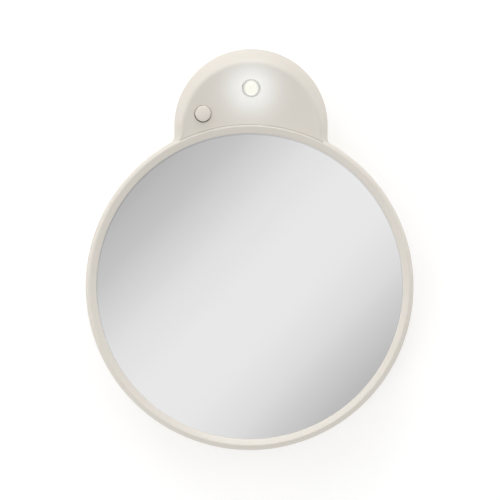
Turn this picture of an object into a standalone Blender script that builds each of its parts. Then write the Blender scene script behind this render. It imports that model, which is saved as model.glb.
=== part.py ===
# Lighted makeup mirror: a round magnifying mirror with a lamp dome on top, held to a wall by suction cups.
# The pieces are modelled lying down, with X across, Y up the mirror and Z out of the wall towards the user.
# The empty mirror_axes stands this frame upright, so that Y becomes world Z and Z becomes world -Y.

from math import atan2, copysign, cos, hypot, pi, radians, sin, sqrt

import bmesh
import bpy
import numpy as np
from mathutils import Matrix, Vector
from mathutils.bvhtree import BVHTree

MM = 0.001

# Clearances shared by the whole object
FIT = 0.3 * MM
CONTACT_GAP = 0.2 * MM
EMBED = 0.5 * MM
OVERRUN = 2.0 * MM
MERGE = 0.01 * MM

# Fineness of small round things
ROUND_POINTS = 6
HOLE_SIDES = 24
SCREW_SIDES = 16
PIN_SIDES = 12

# Outline of the case: a round ring with a dome on its top edge
RING_RADIUS = 57.15 * MM
DOME_MARGIN = 4.0 * MM
DOME_SUNK = 1.05 * MM
JUNCTION_FILLET = 2.8 * MM
JUNCTION_BITE = 0.08 * MM

# Depths of the case, from the wall outwards
STAND_OFF = 8.0 * MM
COVER_RIM = 3.6 * MM
RING_OVER_BOARD = 7.4 * MM
DOME_RISE = 4.6 * MM

# Ring of the front frame
RING_WALL = 2.0 * MM
RING_ROUND = 1.75 * MM
LIP_WIDTH = 4.05 * MM
LIP_EDGE = 1.2 * MM
LIP_SLOPE_SHARES = (0.0, 0.33, 0.67)
GLASS_RECESS = 2.8 * MM
RING_STEPS = 60

# Dome of the front frame
DOME_WALL = 1.5 * MM
SIDE_RISE = 1.2 * MM
SEAM_DROP = 0.7 * MM
SEAM_INSET = 1.85 * MM
TOP_BEVEL_WIDTH = 5.6 * MM
SIDE_BEVEL_WIDTH = 1.7 * MM
TOP_BEVEL_DEPTH = 5.0 * MM
SIDE_BEVEL_DEPTH = 2.4 * MM
END_BEVEL_DEPTH = 1.6 * MM
END_DROP = 0.4 * MM
SCOOP_POWER_SHARE = 1.4
SEAM_SPREAD_SHARE = 1.45
BEVEL_STEPS = 4
SCOOP_STEPS = 6
ARC_STEPS = 10
STRAIGHT_STEPS = 1
FILLET_STEPS = 4

# Mirror glass and the foam behind it
GLASS_EDGE_GAP = 0.55 * MM
GLASS_THICKNESS = 2.0 * MM
GLASS_SAG = 3.4 * MM
GLASS_RINGS = 4
FOAM_INSET = 4.6 * MM
FOAM_WIDTH = 4.0 * MM
FOAM_THICKNESS = 1.9 * MM

# Back cover
COVER_PLATE = 1.8 * MM
COVER_WALL = 2.0 * MM
COVER_EDGE_ROUND = 1.0 * MM
COVER_EDGE_STEPS = 2
ROUND_PROFILE_SHARE = 0.5
RIB_WIDTH = 2.0 * MM
TONGUE_WALL = 1.2 * MM
TONGUE_LENGTH = 2.5 * MM
SNAP_HEIGHT = 0.4 * MM
SNAP_LENGTH = 0.4 * MM
SNAP_FROM_PARTING = 1.45 * MM
GROOVE_DEPTH = 0.3 * MM
GROOVE_LENGTH = 0.7 * MM

# Battery pocket and its door
CELL_RADIUS = 10.0 * MM
CELL_THICKNESS = 3.2 * MM
CELL_CAP_INSET = 1.1 * MM
CELL_CAP_HEIGHT = 0.6 * MM
CELL_CRIMP = 0.4 * MM
CELLS_APART = 1.6 * MM
POCKET_SUNK = 3.95 * MM
POCKET_WALL = 1.0 * MM
POCKET_FLOOR = 1.0 * MM
CONTACT_SPACE = 1.2 * MM
DOOR_THICKNESS = 1.4 * MM
DOOR_MARGIN = 1.7 * MM
DOOR_SEAT = 1.3 * MM
DOOR_TAB_RADIUS = 3.4 * MM
DOOR_TAB_DROP = 3.3 * MM
DOOR_GRIP_WIDTH = 9.0 * MM
DOOR_GRIP_HEIGHT = 1.2 * MM
DOOR_GRIP_DEPTH = 0.5 * MM
DOOR_GRIP_PITCH = 2.4 * MM
DOOR_GRIPS = 4
DOOR_POST_RADIUS = 2.4 * MM
DOOR_POST_LENGTH = 4.8 * MM
POCKET_STEPS = 14

# Contact strips
STRIP_THICKNESS = 0.25 * MM
STRIP_WIDTH = 3.0 * MM
STRIP_RISE = 0.45 * MM
STRIP_BUMP = 3.0 * MM
TAB_PROUD = 0.8 * MM
NEGATIVE_REACH = 5.4 * MM
POSITIVE_ANGLE = radians(135.0)

# Screws
SCREW_RADIUS = 1.0 * MM
SCREW_HEAD_RADIUS = 1.9 * MM
SCREW_HEAD_HEIGHT = 1.3 * MM
SCREW_HEAD_EDGE = 0.45 * MM
SCREW_LENGTH = 7.4 * MM
SCREW_SUNK = 0.25 * MM
SCREW_TIP = 0.4 * MM
CROSS_LENGTH = 2.0 * MM
CROSS_WIDTH = 0.5 * MM
CROSS_DEPTH = 0.6 * MM
BOSS_RADIUS = 2.1 * MM
SCREW_SEAT_RADIUS = 3.2 * MM
SCREW_WEB = 0.6 * MM
SIDE_SCREW_ANGLE = radians(-42.0)
TOP_SCREW_INSET = 4.3 * MM
DOOR_SCREW_LENGTH = 4.6 * MM
DOOR_SCREW_CONE = 0.7 * MM

# Circuit board
BOARD_THICKNESS = 1.2 * MM
BOARD_EDGE_GAP = 0.75 * MM
BOARD_FOOT_GAP = 0.5 * MM
BOARD_SIDE_GAP = 6.4 * MM
BOARD_OVER_STAKE = 2.36 * MM
BOARD_OVER_LED = 4.0 * MM
BOARD_SIDES = 48
STAKE_RADIUS = 0.9 * MM
STAKE_PROUD = 0.8 * MM
STAKE_INSET = 2.2 * MM
RIGHT_STAKE_ANGLE = radians(18.0)
LEFT_STAKE_ANGLE = radians(121.0)
RESISTOR_SIZE = (3.2 * MM, 1.6 * MM, 0.6 * MM)
RESISTOR_EDGE = 0.08 * MM
RESISTOR_ACROSS = 8.5 * MM
RESISTOR_RISE = 6.9 * MM

# Lamp
LED_RADIUS = 2.5 * MM
LED_LENGTH = 8.6 * MM
LED_FLANGE_RADIUS = 2.9 * MM
LED_FLANGE_HEIGHT = 1.0 * MM
LED_PROUD = 2.0 * MM
LED_TILT = radians(15.0)
LED_COLLAR_WALL = 1.2 * MM
LED_COLLAR_LENGTH = 4.2 * MM
LEAD_RADIUS = 0.25 * MM
LEAD_SPACING = 2.54 * MM
LEAD_STRAIGHT = 0.9 * MM
WIRE_ROUNDNESS = 1

# Push button and its switch
BUTTON_INSET = 10.0 * MM
BUTTON_RISE = 3.6 * MM
BUTTON_RADIUS = 2.8 * MM
BUTTON_PROUD = 1.1 * MM
BUTTON_CROWN = 0.5 * MM
BUTTON_FLANGE = 0.8 * MM
BUTTON_FLANGE_HEIGHT = 0.7 * MM
BUTTON_WALL = 1.8 * MM
BUTTON_TRAVEL = 0.8 * MM
SWITCH_SIZE = 6.0 * MM
SWITCH_HEIGHT = 3.2 * MM
SWITCH_BORE = 1.9 * MM
SWITCH_CORNER = 0.4 * MM
COVER_SHEET = 0.25 * MM
PLUNGER_RADIUS = 1.1 * MM
PLUNGER_FLANGE_RADIUS = 1.6 * MM
PLUNGER_FLANGE_HEIGHT = 0.5 * MM
SPRING_PRESSED = 1.3 * MM
SPRING_RADIUS = 1.2 * MM
SPRING_WIRE = 0.2 * MM
SPRING_TURNS = 2.4
SPRING_POINTS = 10
PIN_RADIUS = 0.35 * MM
PIN_SPACING = 4.0 * MM

# Suction cups
CUP_RADIUS = 14.0 * MM
CUP_LIP = 1.3 * MM
CUP_HOLLOW = 3.2 * MM
CUP_WALL = 1.2 * MM
CUP_SHOULDER_RADIUS = 4.8 * MM
CUP_NECK_RADIUS = 2.8 * MM
CUP_HEAD_RADIUS = 4.2 * MM
CUP_HEAD_HEIGHT = 1.7 * MM
CUP_CIRCLE = 30.0 * MM
CUP_ANGLES = (radians(30.0), radians(150.0), radians(270.0))
CUP_BELL_SHARES = ((0.22, 1.0), (0.6, 0.62), (0.9, 0.27), (1.0, 0.09))
CUP_HOLLOW_SHARES = (1.0, 0.75, 0.45)
CUP_STEPS = 20

# Depths that follow from the sizes above
cover_floor = STAND_OFF + COVER_PLATE
cover_top = STAND_OFF + COVER_RIM
parting = cover_top + FIT
door_inner = STAND_OFF + DOOR_THICKNESS
cell_back = door_inner + FIT
cell_front = cell_back + CELL_THICKNESS
pocket_floor = cell_front + CONTACT_SPACE
pocket_top = pocket_floor + POCKET_FLOOR
strip_level = pocket_floor - FIT - STRIP_THICKNESS / 2
board_back = pocket_top + FIT
board_front = board_back + BOARD_THICKNESS
switch_back = board_front + FIT
switch_front = switch_back + SWITCH_HEIGHT
cover_sheet_back = switch_front + CONTACT_GAP
cover_sheet_front = cover_sheet_back + COVER_SHEET
ring_front = board_front + RING_OVER_BOARD
side_front = ring_front + SIDE_RISE
dome_front = ring_front + DOME_RISE
seam_front = ring_front - SEAM_DROP
glass_front = ring_front - GLASS_RECESS
glass_back = glass_front - GLASS_THICKNESS
lip_under = glass_front + FIT
foam_front = glass_back - FIT
foam_back = foam_front - FOAM_THICKNESS
tongue_top = cover_top + TONGUE_LENGTH

# Radii and places that follow
wall_inner_radius = RING_RADIUS - RING_WALL
crest_radius = RING_RADIUS - RING_ROUND
seam_radius = RING_RADIUS - SEAM_INSET
lip_radius = RING_RADIUS - LIP_WIDTH
glass_radius = wall_inner_radius - GLASS_EDGE_GAP
foam_inner_radius = glass_radius - FOAM_INSET
tongue_radius = wall_inner_radius - FIT
pocket_radius = CELL_RADIUS + FIT
cell_across = CELL_RADIUS + CELLS_APART / 2
cell_height = RING_RADIUS - POCKET_SUNK + pocket_radius
door_radius = pocket_radius + DOOR_MARGIN
door_screw_place = (0.0, cell_height - door_radius - DOOR_TAB_DROP)
dome_radius = cell_across + door_radius + DOME_MARGIN
dome_centre = RING_RADIUS - DOME_SUNK
stake_reach = pocket_radius - STAKE_INSET
stakes = [
    (side * cell_across + stake_reach * cos(angle), cell_height + stake_reach * sin(angle))
    for side, angle in ((1, RIGHT_STAKE_ANGLE), (-1, LEFT_STAKE_ANGLE))
]
board_top = cell_height + stake_reach * sin(LEFT_STAKE_ANGLE) + BOARD_OVER_STAKE
board_width = 2 * (dome_radius - BOARD_SIDE_GAP)
led_height = board_top - BOARD_OVER_LED
button_place = (BUTTON_INSET - dome_radius, dome_centre + BUTTON_RISE)
resistor_place = (RESISTOR_ACROSS, dome_centre + RESISTOR_RISE)


def principled(name, colour, roughness, metallic=0.0, alpha=1.0, glow=0.0):
    """A plain Principled material."""
    material = bpy.data.materials.new(name)
    material.use_nodes = True
    shader = material.node_tree.nodes["Principled BSDF"]
    shader.inputs["Base Color"].default_value = (*colour, 1.0)
    shader.inputs["Roughness"].default_value = roughness
    shader.inputs["Metallic"].default_value = metallic
    shader.inputs["Alpha"].default_value = alpha
    shader.inputs["Emission Color"].default_value = (*colour, 1.0)
    shader.inputs["Emission Strength"].default_value = glow
    return material


def make_collection(name):
    collection = bpy.data.collections.new(name)
    bpy.context.scene.collection.children.link(collection)
    return collection


for old in list(bpy.data.objects):
    bpy.data.objects.remove(old, do_unlink=True)

parts = make_collection("makeup_mirror")
cutters = make_collection("cutters")

mirror_axes = bpy.data.objects.new("mirror_axes", None)
mirror_axes.rotation_euler = (pi / 2, 0, 0)
parts.objects.link(mirror_axes)

cream = principled("cream_plastic", (0.76, 0.70, 0.62), 0.35)
glass = principled("mirror_glass", (0.85, 0.86, 0.87), 0.03, metallic=1.0)
foam = principled("black_foam", (0.03, 0.03, 0.03), 0.9)
steel = principled("nickel_steel", (0.60, 0.59, 0.56), 0.3, metallic=1.0)
strip_metal = principled("spring_strip", (0.74, 0.72, 0.67), 0.25, metallic=1.0)
board_green = principled("circuit_board", (0.02, 0.16, 0.07), 0.45)
black_plastic = principled("black_plastic", (0.02, 0.02, 0.022), 0.4)
clear_epoxy = principled("clear_epoxy", (1.0, 0.98, 0.90), 0.1, glow=2.0)
cup_vinyl = principled("cup_vinyl", (0.80, 0.83, 0.84), 0.15, alpha=0.6)


def place(name, data, material, at=(0, 0, 0), tilt=0.0, spin=0.0):
    """Links a piece under the mirror's axes. Without a material it is a cutter."""
    obj = bpy.data.objects.new(name, data)
    obj.parent = mirror_axes
    obj.location = at
    obj.rotation_euler = (tilt, 0, spin)
    if material is None:
        cutters.objects.link(obj)
        obj.hide_render = True
        obj.display_type = "WIRE"
    else:
        parts.objects.link(obj)
        data.materials.append(material)
    return obj


def from_bmesh(name, bm, material, **where):
    mesh = bpy.data.meshes.new(name)
    bm.to_mesh(mesh)
    bm.free()
    return place(name, mesh, material, **where)


def turned(name, profile, steps, material=None, closed=False, **where):
    """A profile of (radius, depth) points, turned round the piece's own Z."""
    bm = bmesh.new()
    points = [bm.verts.new((radius, 0, depth)) for radius, depth in profile]
    ends = points[1:] + points[:1] if closed else points[1:]
    for start, end in zip(points, ends):
        bm.edges.new((start, end))
    obj = from_bmesh(name, bm, material, **where)
    turn = obj.modifiers.new("turn", "SCREW")
    turn.steps = steps
    turn.render_steps = steps
    turn.use_merge_vertices = True
    turn.merge_threshold = MERGE
    return obj


def cylinder(name, radius, low, high, centre=(0, 0), sides=HOLE_SIDES, material=None, **where):
    """An upright cylinder between two depths."""
    bm = bmesh.new()
    bmesh.ops.create_cone(
        bm,
        cap_ends=True,
        segments=sides,
        radius1=radius,
        radius2=radius,
        depth=high - low,
        matrix=Matrix.Translation((*centre, (low + high) / 2)),
    )
    return from_bmesh(name, bm, material, **where)


def box(name, size, material=None, round_by=0.0, **where):
    """A box about its own centre, with its edges rounded if asked."""
    bm = bmesh.new()
    bmesh.ops.create_cube(bm, size=1.0, matrix=Matrix.Diagonal((*size, 1.0)))
    if round_by:
        bmesh.ops.bevel(bm, geom=bm.edges[:], offset=round_by, segments=1, affect="EDGES")
    return from_bmesh(name, bm, material, **where)


def flat_plate(name, loops, low, high, material=None, **where):
    """A flat outline between two depths, from closed loops of (x, y) points."""
    curve = bpy.data.curves.new(name, "CURVE")
    curve.dimensions = "2D"
    curve.fill_mode = "BOTH"
    curve.extrude = (high - low) / 2
    for loop in loops:
        spline = curve.splines.new("POLY")
        spline.points.add(len(loop) - 1)
        for point, (x, y) in zip(spline.points, loop):
            point.co = (x, y, 0, 1)
        spline.use_cyclic_u = True
    drawn = bpy.data.objects.new(name, curve)
    cutters.objects.link(drawn)
    graph = bpy.context.evaluated_depsgraph_get()
    mesh = bpy.data.meshes.new_from_object(drawn.evaluated_get(graph))
    bpy.data.objects.remove(drawn)
    bm = bmesh.new()
    bm.from_mesh(mesh)
    bmesh.ops.remove_doubles(bm, verts=bm.verts[:], dist=MERGE)
    bmesh.ops.translate(bm, verts=bm.verts[:], vec=(0, 0, (low + high) / 2))
    bmesh.ops.recalc_face_normals(bm, faces=bm.faces[:])
    return from_bmesh(name, bm, material, **where)


def tube(name, points, radius, resolution, material, **where):
    """A round wire through the points, with closed ends."""
    curve = bpy.data.curves.new(name, "CURVE")
    curve.dimensions = "3D"
    curve.bevel_depth = radius
    curve.bevel_resolution = resolution
    curve.use_fill_caps = True
    spline = curve.splines.new("POLY")
    spline.points.add(len(points) - 1)
    for point, place_at in zip(spline.points, points):
        point.co = (*place_at, 1)
    return place(name, curve, material, **where)


def combine(target, tool, operation):
    """A Boolean on the target. The tool becomes a hidden cutter."""
    step = target.modifiers.new(tool.name, "BOOLEAN")
    step.operation = operation
    step.solver = "EXACT"
    step.object = tool


def join(target, *tools):
    for tool in tools:
        combine(target, tool, "UNION")


def cut(target, *tools):
    for tool in tools:
        combine(target, tool, "DIFFERENCE")


def arc(centre, radius, start, end, steps):
    """Points along an arc, both ends included."""
    angles = np.linspace(start, end, steps + 1)
    return [(centre[0] + radius * cos(a), centre[1] + radius * sin(a)) for a in angles]


# Outline of the case

fillet_x = dome_radius + JUNCTION_FILLET
fillet_reach = RING_RADIUS + JUNCTION_FILLET - JUNCTION_BITE
fillet_y = sqrt(fillet_reach**2 - fillet_x**2)
junction_angle = atan2(fillet_y, fillet_x)


def right_half_edge():
    """The dome's edge from its top down to the ring on the right.

    Each entry is a point, the direction into the plastic, the share of the way round the dome
    and the share of the way down the side.
    """
    edge = []
    for step in range(ARC_STEPS + 1):
        angle = pi / 2 * (1 - step / ARC_STEPS)
        point = (dome_radius * cos(angle), dome_centre + dome_radius * sin(angle))
        edge.append((point, (-cos(angle), -sin(angle)), sin(angle), 0.0))
    steps_down = STRAIGHT_STEPS + FILLET_STEPS
    for step in range(1, STRAIGHT_STEPS + 1):
        height = dome_centre + (fillet_y - dome_centre) * step / STRAIGHT_STEPS
        edge.append(((dome_radius, height), (-1.0, 0.0), 0.0, step / steps_down))
    for step in range(1, FILLET_STEPS + 1):
        angle = pi + junction_angle * step / FILLET_STEPS
        outward = (cos(angle), sin(angle))
        point = (fillet_x + JUNCTION_FILLET * outward[0], fillet_y + JUNCTION_FILLET * outward[1])
        edge.append((point, outward, 0.0, (STRAIGHT_STEPS + step) / steps_down))
    return edge


def dome_edge():
    """The dome's whole edge, from the ring on the left over the top to the ring on the right."""
    right = right_half_edge()
    left = [((-p[0], p[1]), (-n[0], n[1]), top, down) for p, n, top, down in right]
    return left[:0:-1] + right


def case_outline(inset):
    """The closed outline of the whole case, moved inwards by the inset."""
    radius = RING_RADIUS - inset
    dome = dome_radius - inset
    fillet = JUNCTION_FILLET + inset
    ring = arc((0, 0), radius, pi - junction_angle, 2 * pi + junction_angle, RING_STEPS)
    right_fillet = arc((fillet_x, fillet_y), fillet, pi + junction_angle, pi, FILLET_STEPS)
    top = arc((0, dome_centre), dome, 0, pi, 2 * ARC_STEPS)
    left_fillet = arc((-fillet_x, fillet_y), fillet, 0, -junction_angle, FILLET_STEPS)
    return ring[:-1] + right_fillet + top + left_fillet[:-1]


def stadium(radius):
    """Outline round the two coin cells."""
    right = arc((cell_across, cell_height), radius, -pi / 2, pi / 2, POCKET_STEPS)
    left = arc((-cell_across, cell_height), radius, pi / 2, 3 * pi / 2, POCKET_STEPS)
    return right + left


def door_outline(grow):
    """Outline of the battery door: round the cells, with a tab for its screw below."""
    foot = arc(door_screw_place, DOOR_TAB_RADIUS + grow, pi, 2 * pi, ARC_STEPS)
    return stadium(door_radius + grow) + foot


# Skin of the dome


def station(point, inward, top, down, along):
    """Sizes of the dome's section at one place of its edge."""
    crest = side_front + (dome_front - side_front) * top - (side_front - ring_front + END_DROP) * down
    width = SIDE_BEVEL_WIDTH + (TOP_BEVEL_WIDTH - SIDE_BEVEL_WIDTH) * top
    depth = SIDE_BEVEL_DEPTH + (TOP_BEVEL_DEPTH - SIDE_BEVEL_DEPTH) * top
    depth = depth + (END_BEVEL_DEPTH - SIDE_BEVEL_DEPTH) * down
    spread = copysign(abs(along) ** SEAM_SPREAD_SHARE, along)
    seam_angle = pi / 2 + (junction_angle - pi / 2) * spread
    seam = Vector((seam_radius * cos(seam_angle), seam_radius * sin(seam_angle)))
    return Vector(point), Vector(inward), crest, width, depth, seam


def half_shares(edge):
    """How far along the edge each station lies, from 0 at the top to 1 at the right and -1 at the left."""
    middle = len(edge) // 2
    steps = [hypot(b[0][0] - a[0][0], b[0][1] - a[0][1]) for a, b in zip(edge, edge[1:])]
    travelled = np.concatenate(([0], np.cumsum(steps)))
    travelled = travelled - travelled[middle]
    return travelled / travelled[-1]


def dome_sections():
    """Closed sections of the dome's wall, each with its outer points first and the inner ones back."""
    edge = dome_edge()
    sections = []
    for (place_at, normal, top, down), along in zip(edge, half_shares(edge)):
        point, inward, crest, width, depth, seam = station(place_at, normal, top, down, along)
        outer = [(*point, parting)]
        for step in range(BEVEL_STEPS + 1):
            angle = pi / 2 * step / BEVEL_STEPS
            spot = point + inward * width * (1 - cos(angle))
            outer.append((*spot, crest - depth + depth * sin(angle)))
        crest_spot = point + inward * width
        inner = []
        for step in range(SCOOP_STEPS + 1):
            share = step / SCOOP_STEPS
            spot = crest_spot.lerp(seam, share)
            level = seam_front + (crest - seam_front) * (1 - share) ** SCOOP_POWER_SHARE
            if step:
                outer.append((*spot, level))
            inner.append((*spot, level - DOME_WALL))
        wall = point + inward * DOME_WALL
        back = [(*wall, parting), (*wall, crest - depth - DOME_WALL / 2)]
        sections.append(outer + inner[::-1] + back[::-1])
    return sections


def dome_shell(name):
    """The dome as a loft through its sections, closed at both ends."""
    bm = bmesh.new()
    rows = [[bm.verts.new(point) for point in section] for section in dome_sections()]
    for here, there in zip(rows, rows[1:]):
        for k in range(len(here)):
            after = (k + 1) % len(here)
            bm.faces.new((here[k], here[after], there[after], there[k]))
    bm.faces.new(rows[0][::-1])
    bm.faces.new(rows[-1])
    bmesh.ops.recalc_face_normals(bm, faces=bm.faces[:])
    bmesh.ops.triangulate(bm, faces=bm.faces[:])
    return from_bmesh(name, bm, None)


def skin_tree():
    """The dome's outer skin alone, for finding its depth at any place."""
    outer_count = 1 + BEVEL_STEPS + 1 + SCOOP_STEPS
    rows = [section[:outer_count] for section in dome_sections()]
    points = [Vector(point) for row in rows for point in row]
    faces = []
    for i in range(len(rows) - 1):
        for k in range(outer_count - 1):
            start = i * outer_count + k
            faces.append((start, start + 1, start + outer_count + 1, start + outer_count))
    return BVHTree.FromPolygons(points, faces)


dome_skin = skin_tree()


def skin_depth(x, y):
    """Depth of the dome's outer skin in front of a place."""
    hit = dome_skin.ray_cast(Vector((x, y, dome_front + OVERRUN)), Vector((0, 0, -1)))
    return hit[0].z


# Front frame

led_axis = Vector((0, -sin(LED_TILT), cos(LED_TILT)))
led_surface = Vector((0, led_height, skin_depth(0, led_height)))
led_base = led_surface - led_axis * (LED_LENGTH - LED_PROUD)
led_hole_radius = LED_RADIUS + CONTACT_GAP + FIT

button_surface = skin_depth(*button_place)
button_seat = button_surface - BUTTON_WALL
flange_top = button_seat - FIT
flange_bottom = flange_top - BUTTON_FLANGE_HEIGHT
button_hole_radius = BUTTON_RADIUS + FIT
flange_radius = button_hole_radius + BUTTON_FLANGE

screw_hole_radius = SCREW_RADIUS + FIT
head_hole_radius = SCREW_HEAD_RADIUS + FIT
side_screw_reach = door_radius + FIT + head_hole_radius + SCREW_WEB
side_screw_across = cell_across + side_screw_reach * cos(SIDE_SCREW_ANGLE)
side_screw_height = cell_height + side_screw_reach * sin(SIDE_SCREW_ANGLE)
screw_places = [
    (0.0, dome_centre + dome_radius - TOP_SCREW_INSET),
    (-side_screw_across, side_screw_height),
    (side_screw_across, side_screw_height),
]
head_back = STAND_OFF + SCREW_SUNK
head_front = head_back + SCREW_HEAD_HEIGHT


def ring_profile():
    """Closed profile of the ring, down its outer side and back up inside."""
    roundover = [
        (crest_radius + RING_ROUND * sin(a), ring_front - RING_ROUND * (1 - cos(a)))
        for a in np.linspace(0, pi / 2, ROUND_POINTS)
    ]
    groove_start = parting + SNAP_FROM_PARTING - GROOVE_LENGTH / 2
    groove_end = groove_start + GROOVE_LENGTH
    groove = [
        (wall_inner_radius, groove_start - GROOVE_DEPTH),
        (wall_inner_radius + GROOVE_DEPTH, groove_start),
        (wall_inner_radius + GROOVE_DEPTH, groove_end),
        (wall_inner_radius, groove_end + GROOVE_DEPTH),
    ]
    lip_top = lip_under + LIP_EDGE
    slope_run = crest_radius - lip_radius
    slope_rise = ring_front - lip_top
    slope = [
        (lip_radius + slope_run * share, lip_top + slope_rise * sin(pi / 2 * share))
        for share in LIP_SLOPE_SHARES
    ]
    return (
        roundover
        + [(RING_RADIUS, parting), (wall_inner_radius, parting)]
        + groove
        + [(wall_inner_radius, lip_under), (lip_radius, lip_under)]
        + slope
    )


def front_frame():
    frame = turned("front_frame", ring_profile(), RING_STEPS, cream, closed=True)
    join(frame, dome_shell("dome_shell"))
    for number, (x, y) in enumerate(screw_places, 1):
        boss_top = skin_depth(x, y) - DOME_WALL / 2
        join(frame, cylinder(f"boss_{number}", BOSS_RADIUS, parting + FIT, boss_top, (x, y)))
    collar_low = LED_LENGTH - LED_PROUD - LED_COLLAR_LENGTH
    collar_high = LED_LENGTH - LED_PROUD - DOME_WALL / 2
    collar_radius = led_hole_radius + LED_COLLAR_WALL
    led_where = dict(at=led_base, tilt=LED_TILT)
    join(frame, cylinder("led_collar", collar_radius, collar_low, collar_high, **led_where))
    cut(frame, cylinder("led_hole", led_hole_radius, collar_low - OVERRUN, LED_LENGTH, **led_where))
    button_top = button_surface + OVERRUN
    room_radius = pocket_radius + POCKET_WALL + FIT
    cut(
        frame,
        cylinder("button_hole", button_hole_radius, flange_bottom, button_top, button_place),
        cylinder("button_seat", flange_radius + FIT, cover_sheet_front, button_seat, button_place),
        flat_plate("pocket_room", [stadium(room_radius)], cover_top, pocket_top + FIT),
    )
    for number, (x, y) in enumerate(screw_places, 1):
        top = head_front + SCREW_LENGTH + FIT
        cut(frame, cylinder(f"pilot_{number}", screw_hole_radius, cover_top, top, (x, y), SCREW_SIDES))
    return frame


# Mirror glass and foam


def glass_sunk(radius):
    """How far the slumped glass lies behind its rim at a radius."""
    return GLASS_SAG * (1 - (radius / glass_radius) ** 2)


def mirror_glass():
    radii = [glass_radius * step / GLASS_RINGS for step in range(GLASS_RINGS + 1)]
    front = [(radius, glass_front - glass_sunk(radius)) for radius in radii]
    back = [(radius, glass_back - glass_sunk(radius)) for radius in radii]
    return turned("mirror_glass", front + back[::-1], RING_STEPS, glass)


def foam_ring():
    inner = foam_inner_radius
    outer = foam_inner_radius + FOAM_WIDTH
    profile = [
        (outer, foam_front - glass_sunk(outer)),
        (outer, foam_back),
        (inner, foam_back),
        (inner, foam_front - glass_sunk(inner)),
    ]
    return turned("foam_ring", profile, RING_STEPS, foam, closed=True)


# Back cover


def cover_block():
    """The cover's solid outline with its back edge rounded."""
    block = flat_plate("back_cover", [case_outline(0)], STAND_OFF, cover_top, cream)
    bm = bmesh.new()
    bm.from_mesh(block.data)
    back_edges = [
        edge
        for edge in bm.edges
        if all(abs(vert.co.z - STAND_OFF) < MERGE for vert in edge.verts)
        and any(abs(face.normal.z) < MERGE / MM for face in edge.link_faces)
    ]
    bmesh.ops.bevel(
        bm,
        geom=back_edges,
        offset=COVER_EDGE_ROUND,
        segments=COVER_EDGE_STEPS,
        profile=ROUND_PROFILE_SHARE,
        affect="EDGES",
    )
    bm.to_mesh(block.data)
    bm.free()
    return block


def cover_ring(name, inner, outer, top):
    profile = [(outer, top), (outer, cover_floor - EMBED), (inner, cover_floor - EMBED), (inner, top)]
    return turned(name, profile, RING_STEPS, closed=True)


def snap_tongue():
    """The ring that snaps into the groove of the front frame's wall."""
    snap = parting + SNAP_FROM_PARTING
    profile = [
        (tongue_radius, tongue_top),
        (tongue_radius, snap + SNAP_LENGTH / 2),
        (tongue_radius + SNAP_HEIGHT, snap),
        (tongue_radius, snap - SNAP_LENGTH / 2),
        (tongue_radius, cover_floor - EMBED),
        (tongue_radius - TONGUE_WALL, cover_floor - EMBED),
        (tongue_radius - TONGUE_WALL, tongue_top),
    ]
    return turned("snap_tongue", profile, RING_STEPS, closed=True)


cup_places = [(CUP_CIRCLE * cos(angle), CUP_CIRCLE * sin(angle)) for angle in CUP_ANGLES]
cup_hole_radius = CUP_NECK_RADIUS + FIT
door_seat_front = door_inner + FIT + DOOR_SEAT


def strip_slot(name, centre, width, low, high, spin=0.0):
    """A slot for a contact's upright tab."""
    size = (STRIP_THICKNESS + 2 * FIT, width + 2 * FIT, high - low)
    return box(name, size, at=(*centre, (low + high) / 2), spin=spin)


positive_reach = CELL_RADIUS + CONTACT_GAP + STRIP_THICKNESS / 2
positive_place = (
    cell_across + positive_reach * cos(POSITIVE_ANGLE),
    cell_height + positive_reach * sin(POSITIVE_ANGLE),
)
negative_tab = cell_across - NEGATIVE_REACH
negative_place = (-negative_tab, cell_height)
tab_places = ((negative_place, 0.0), (positive_place, POSITIVE_ANGLE))


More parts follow.
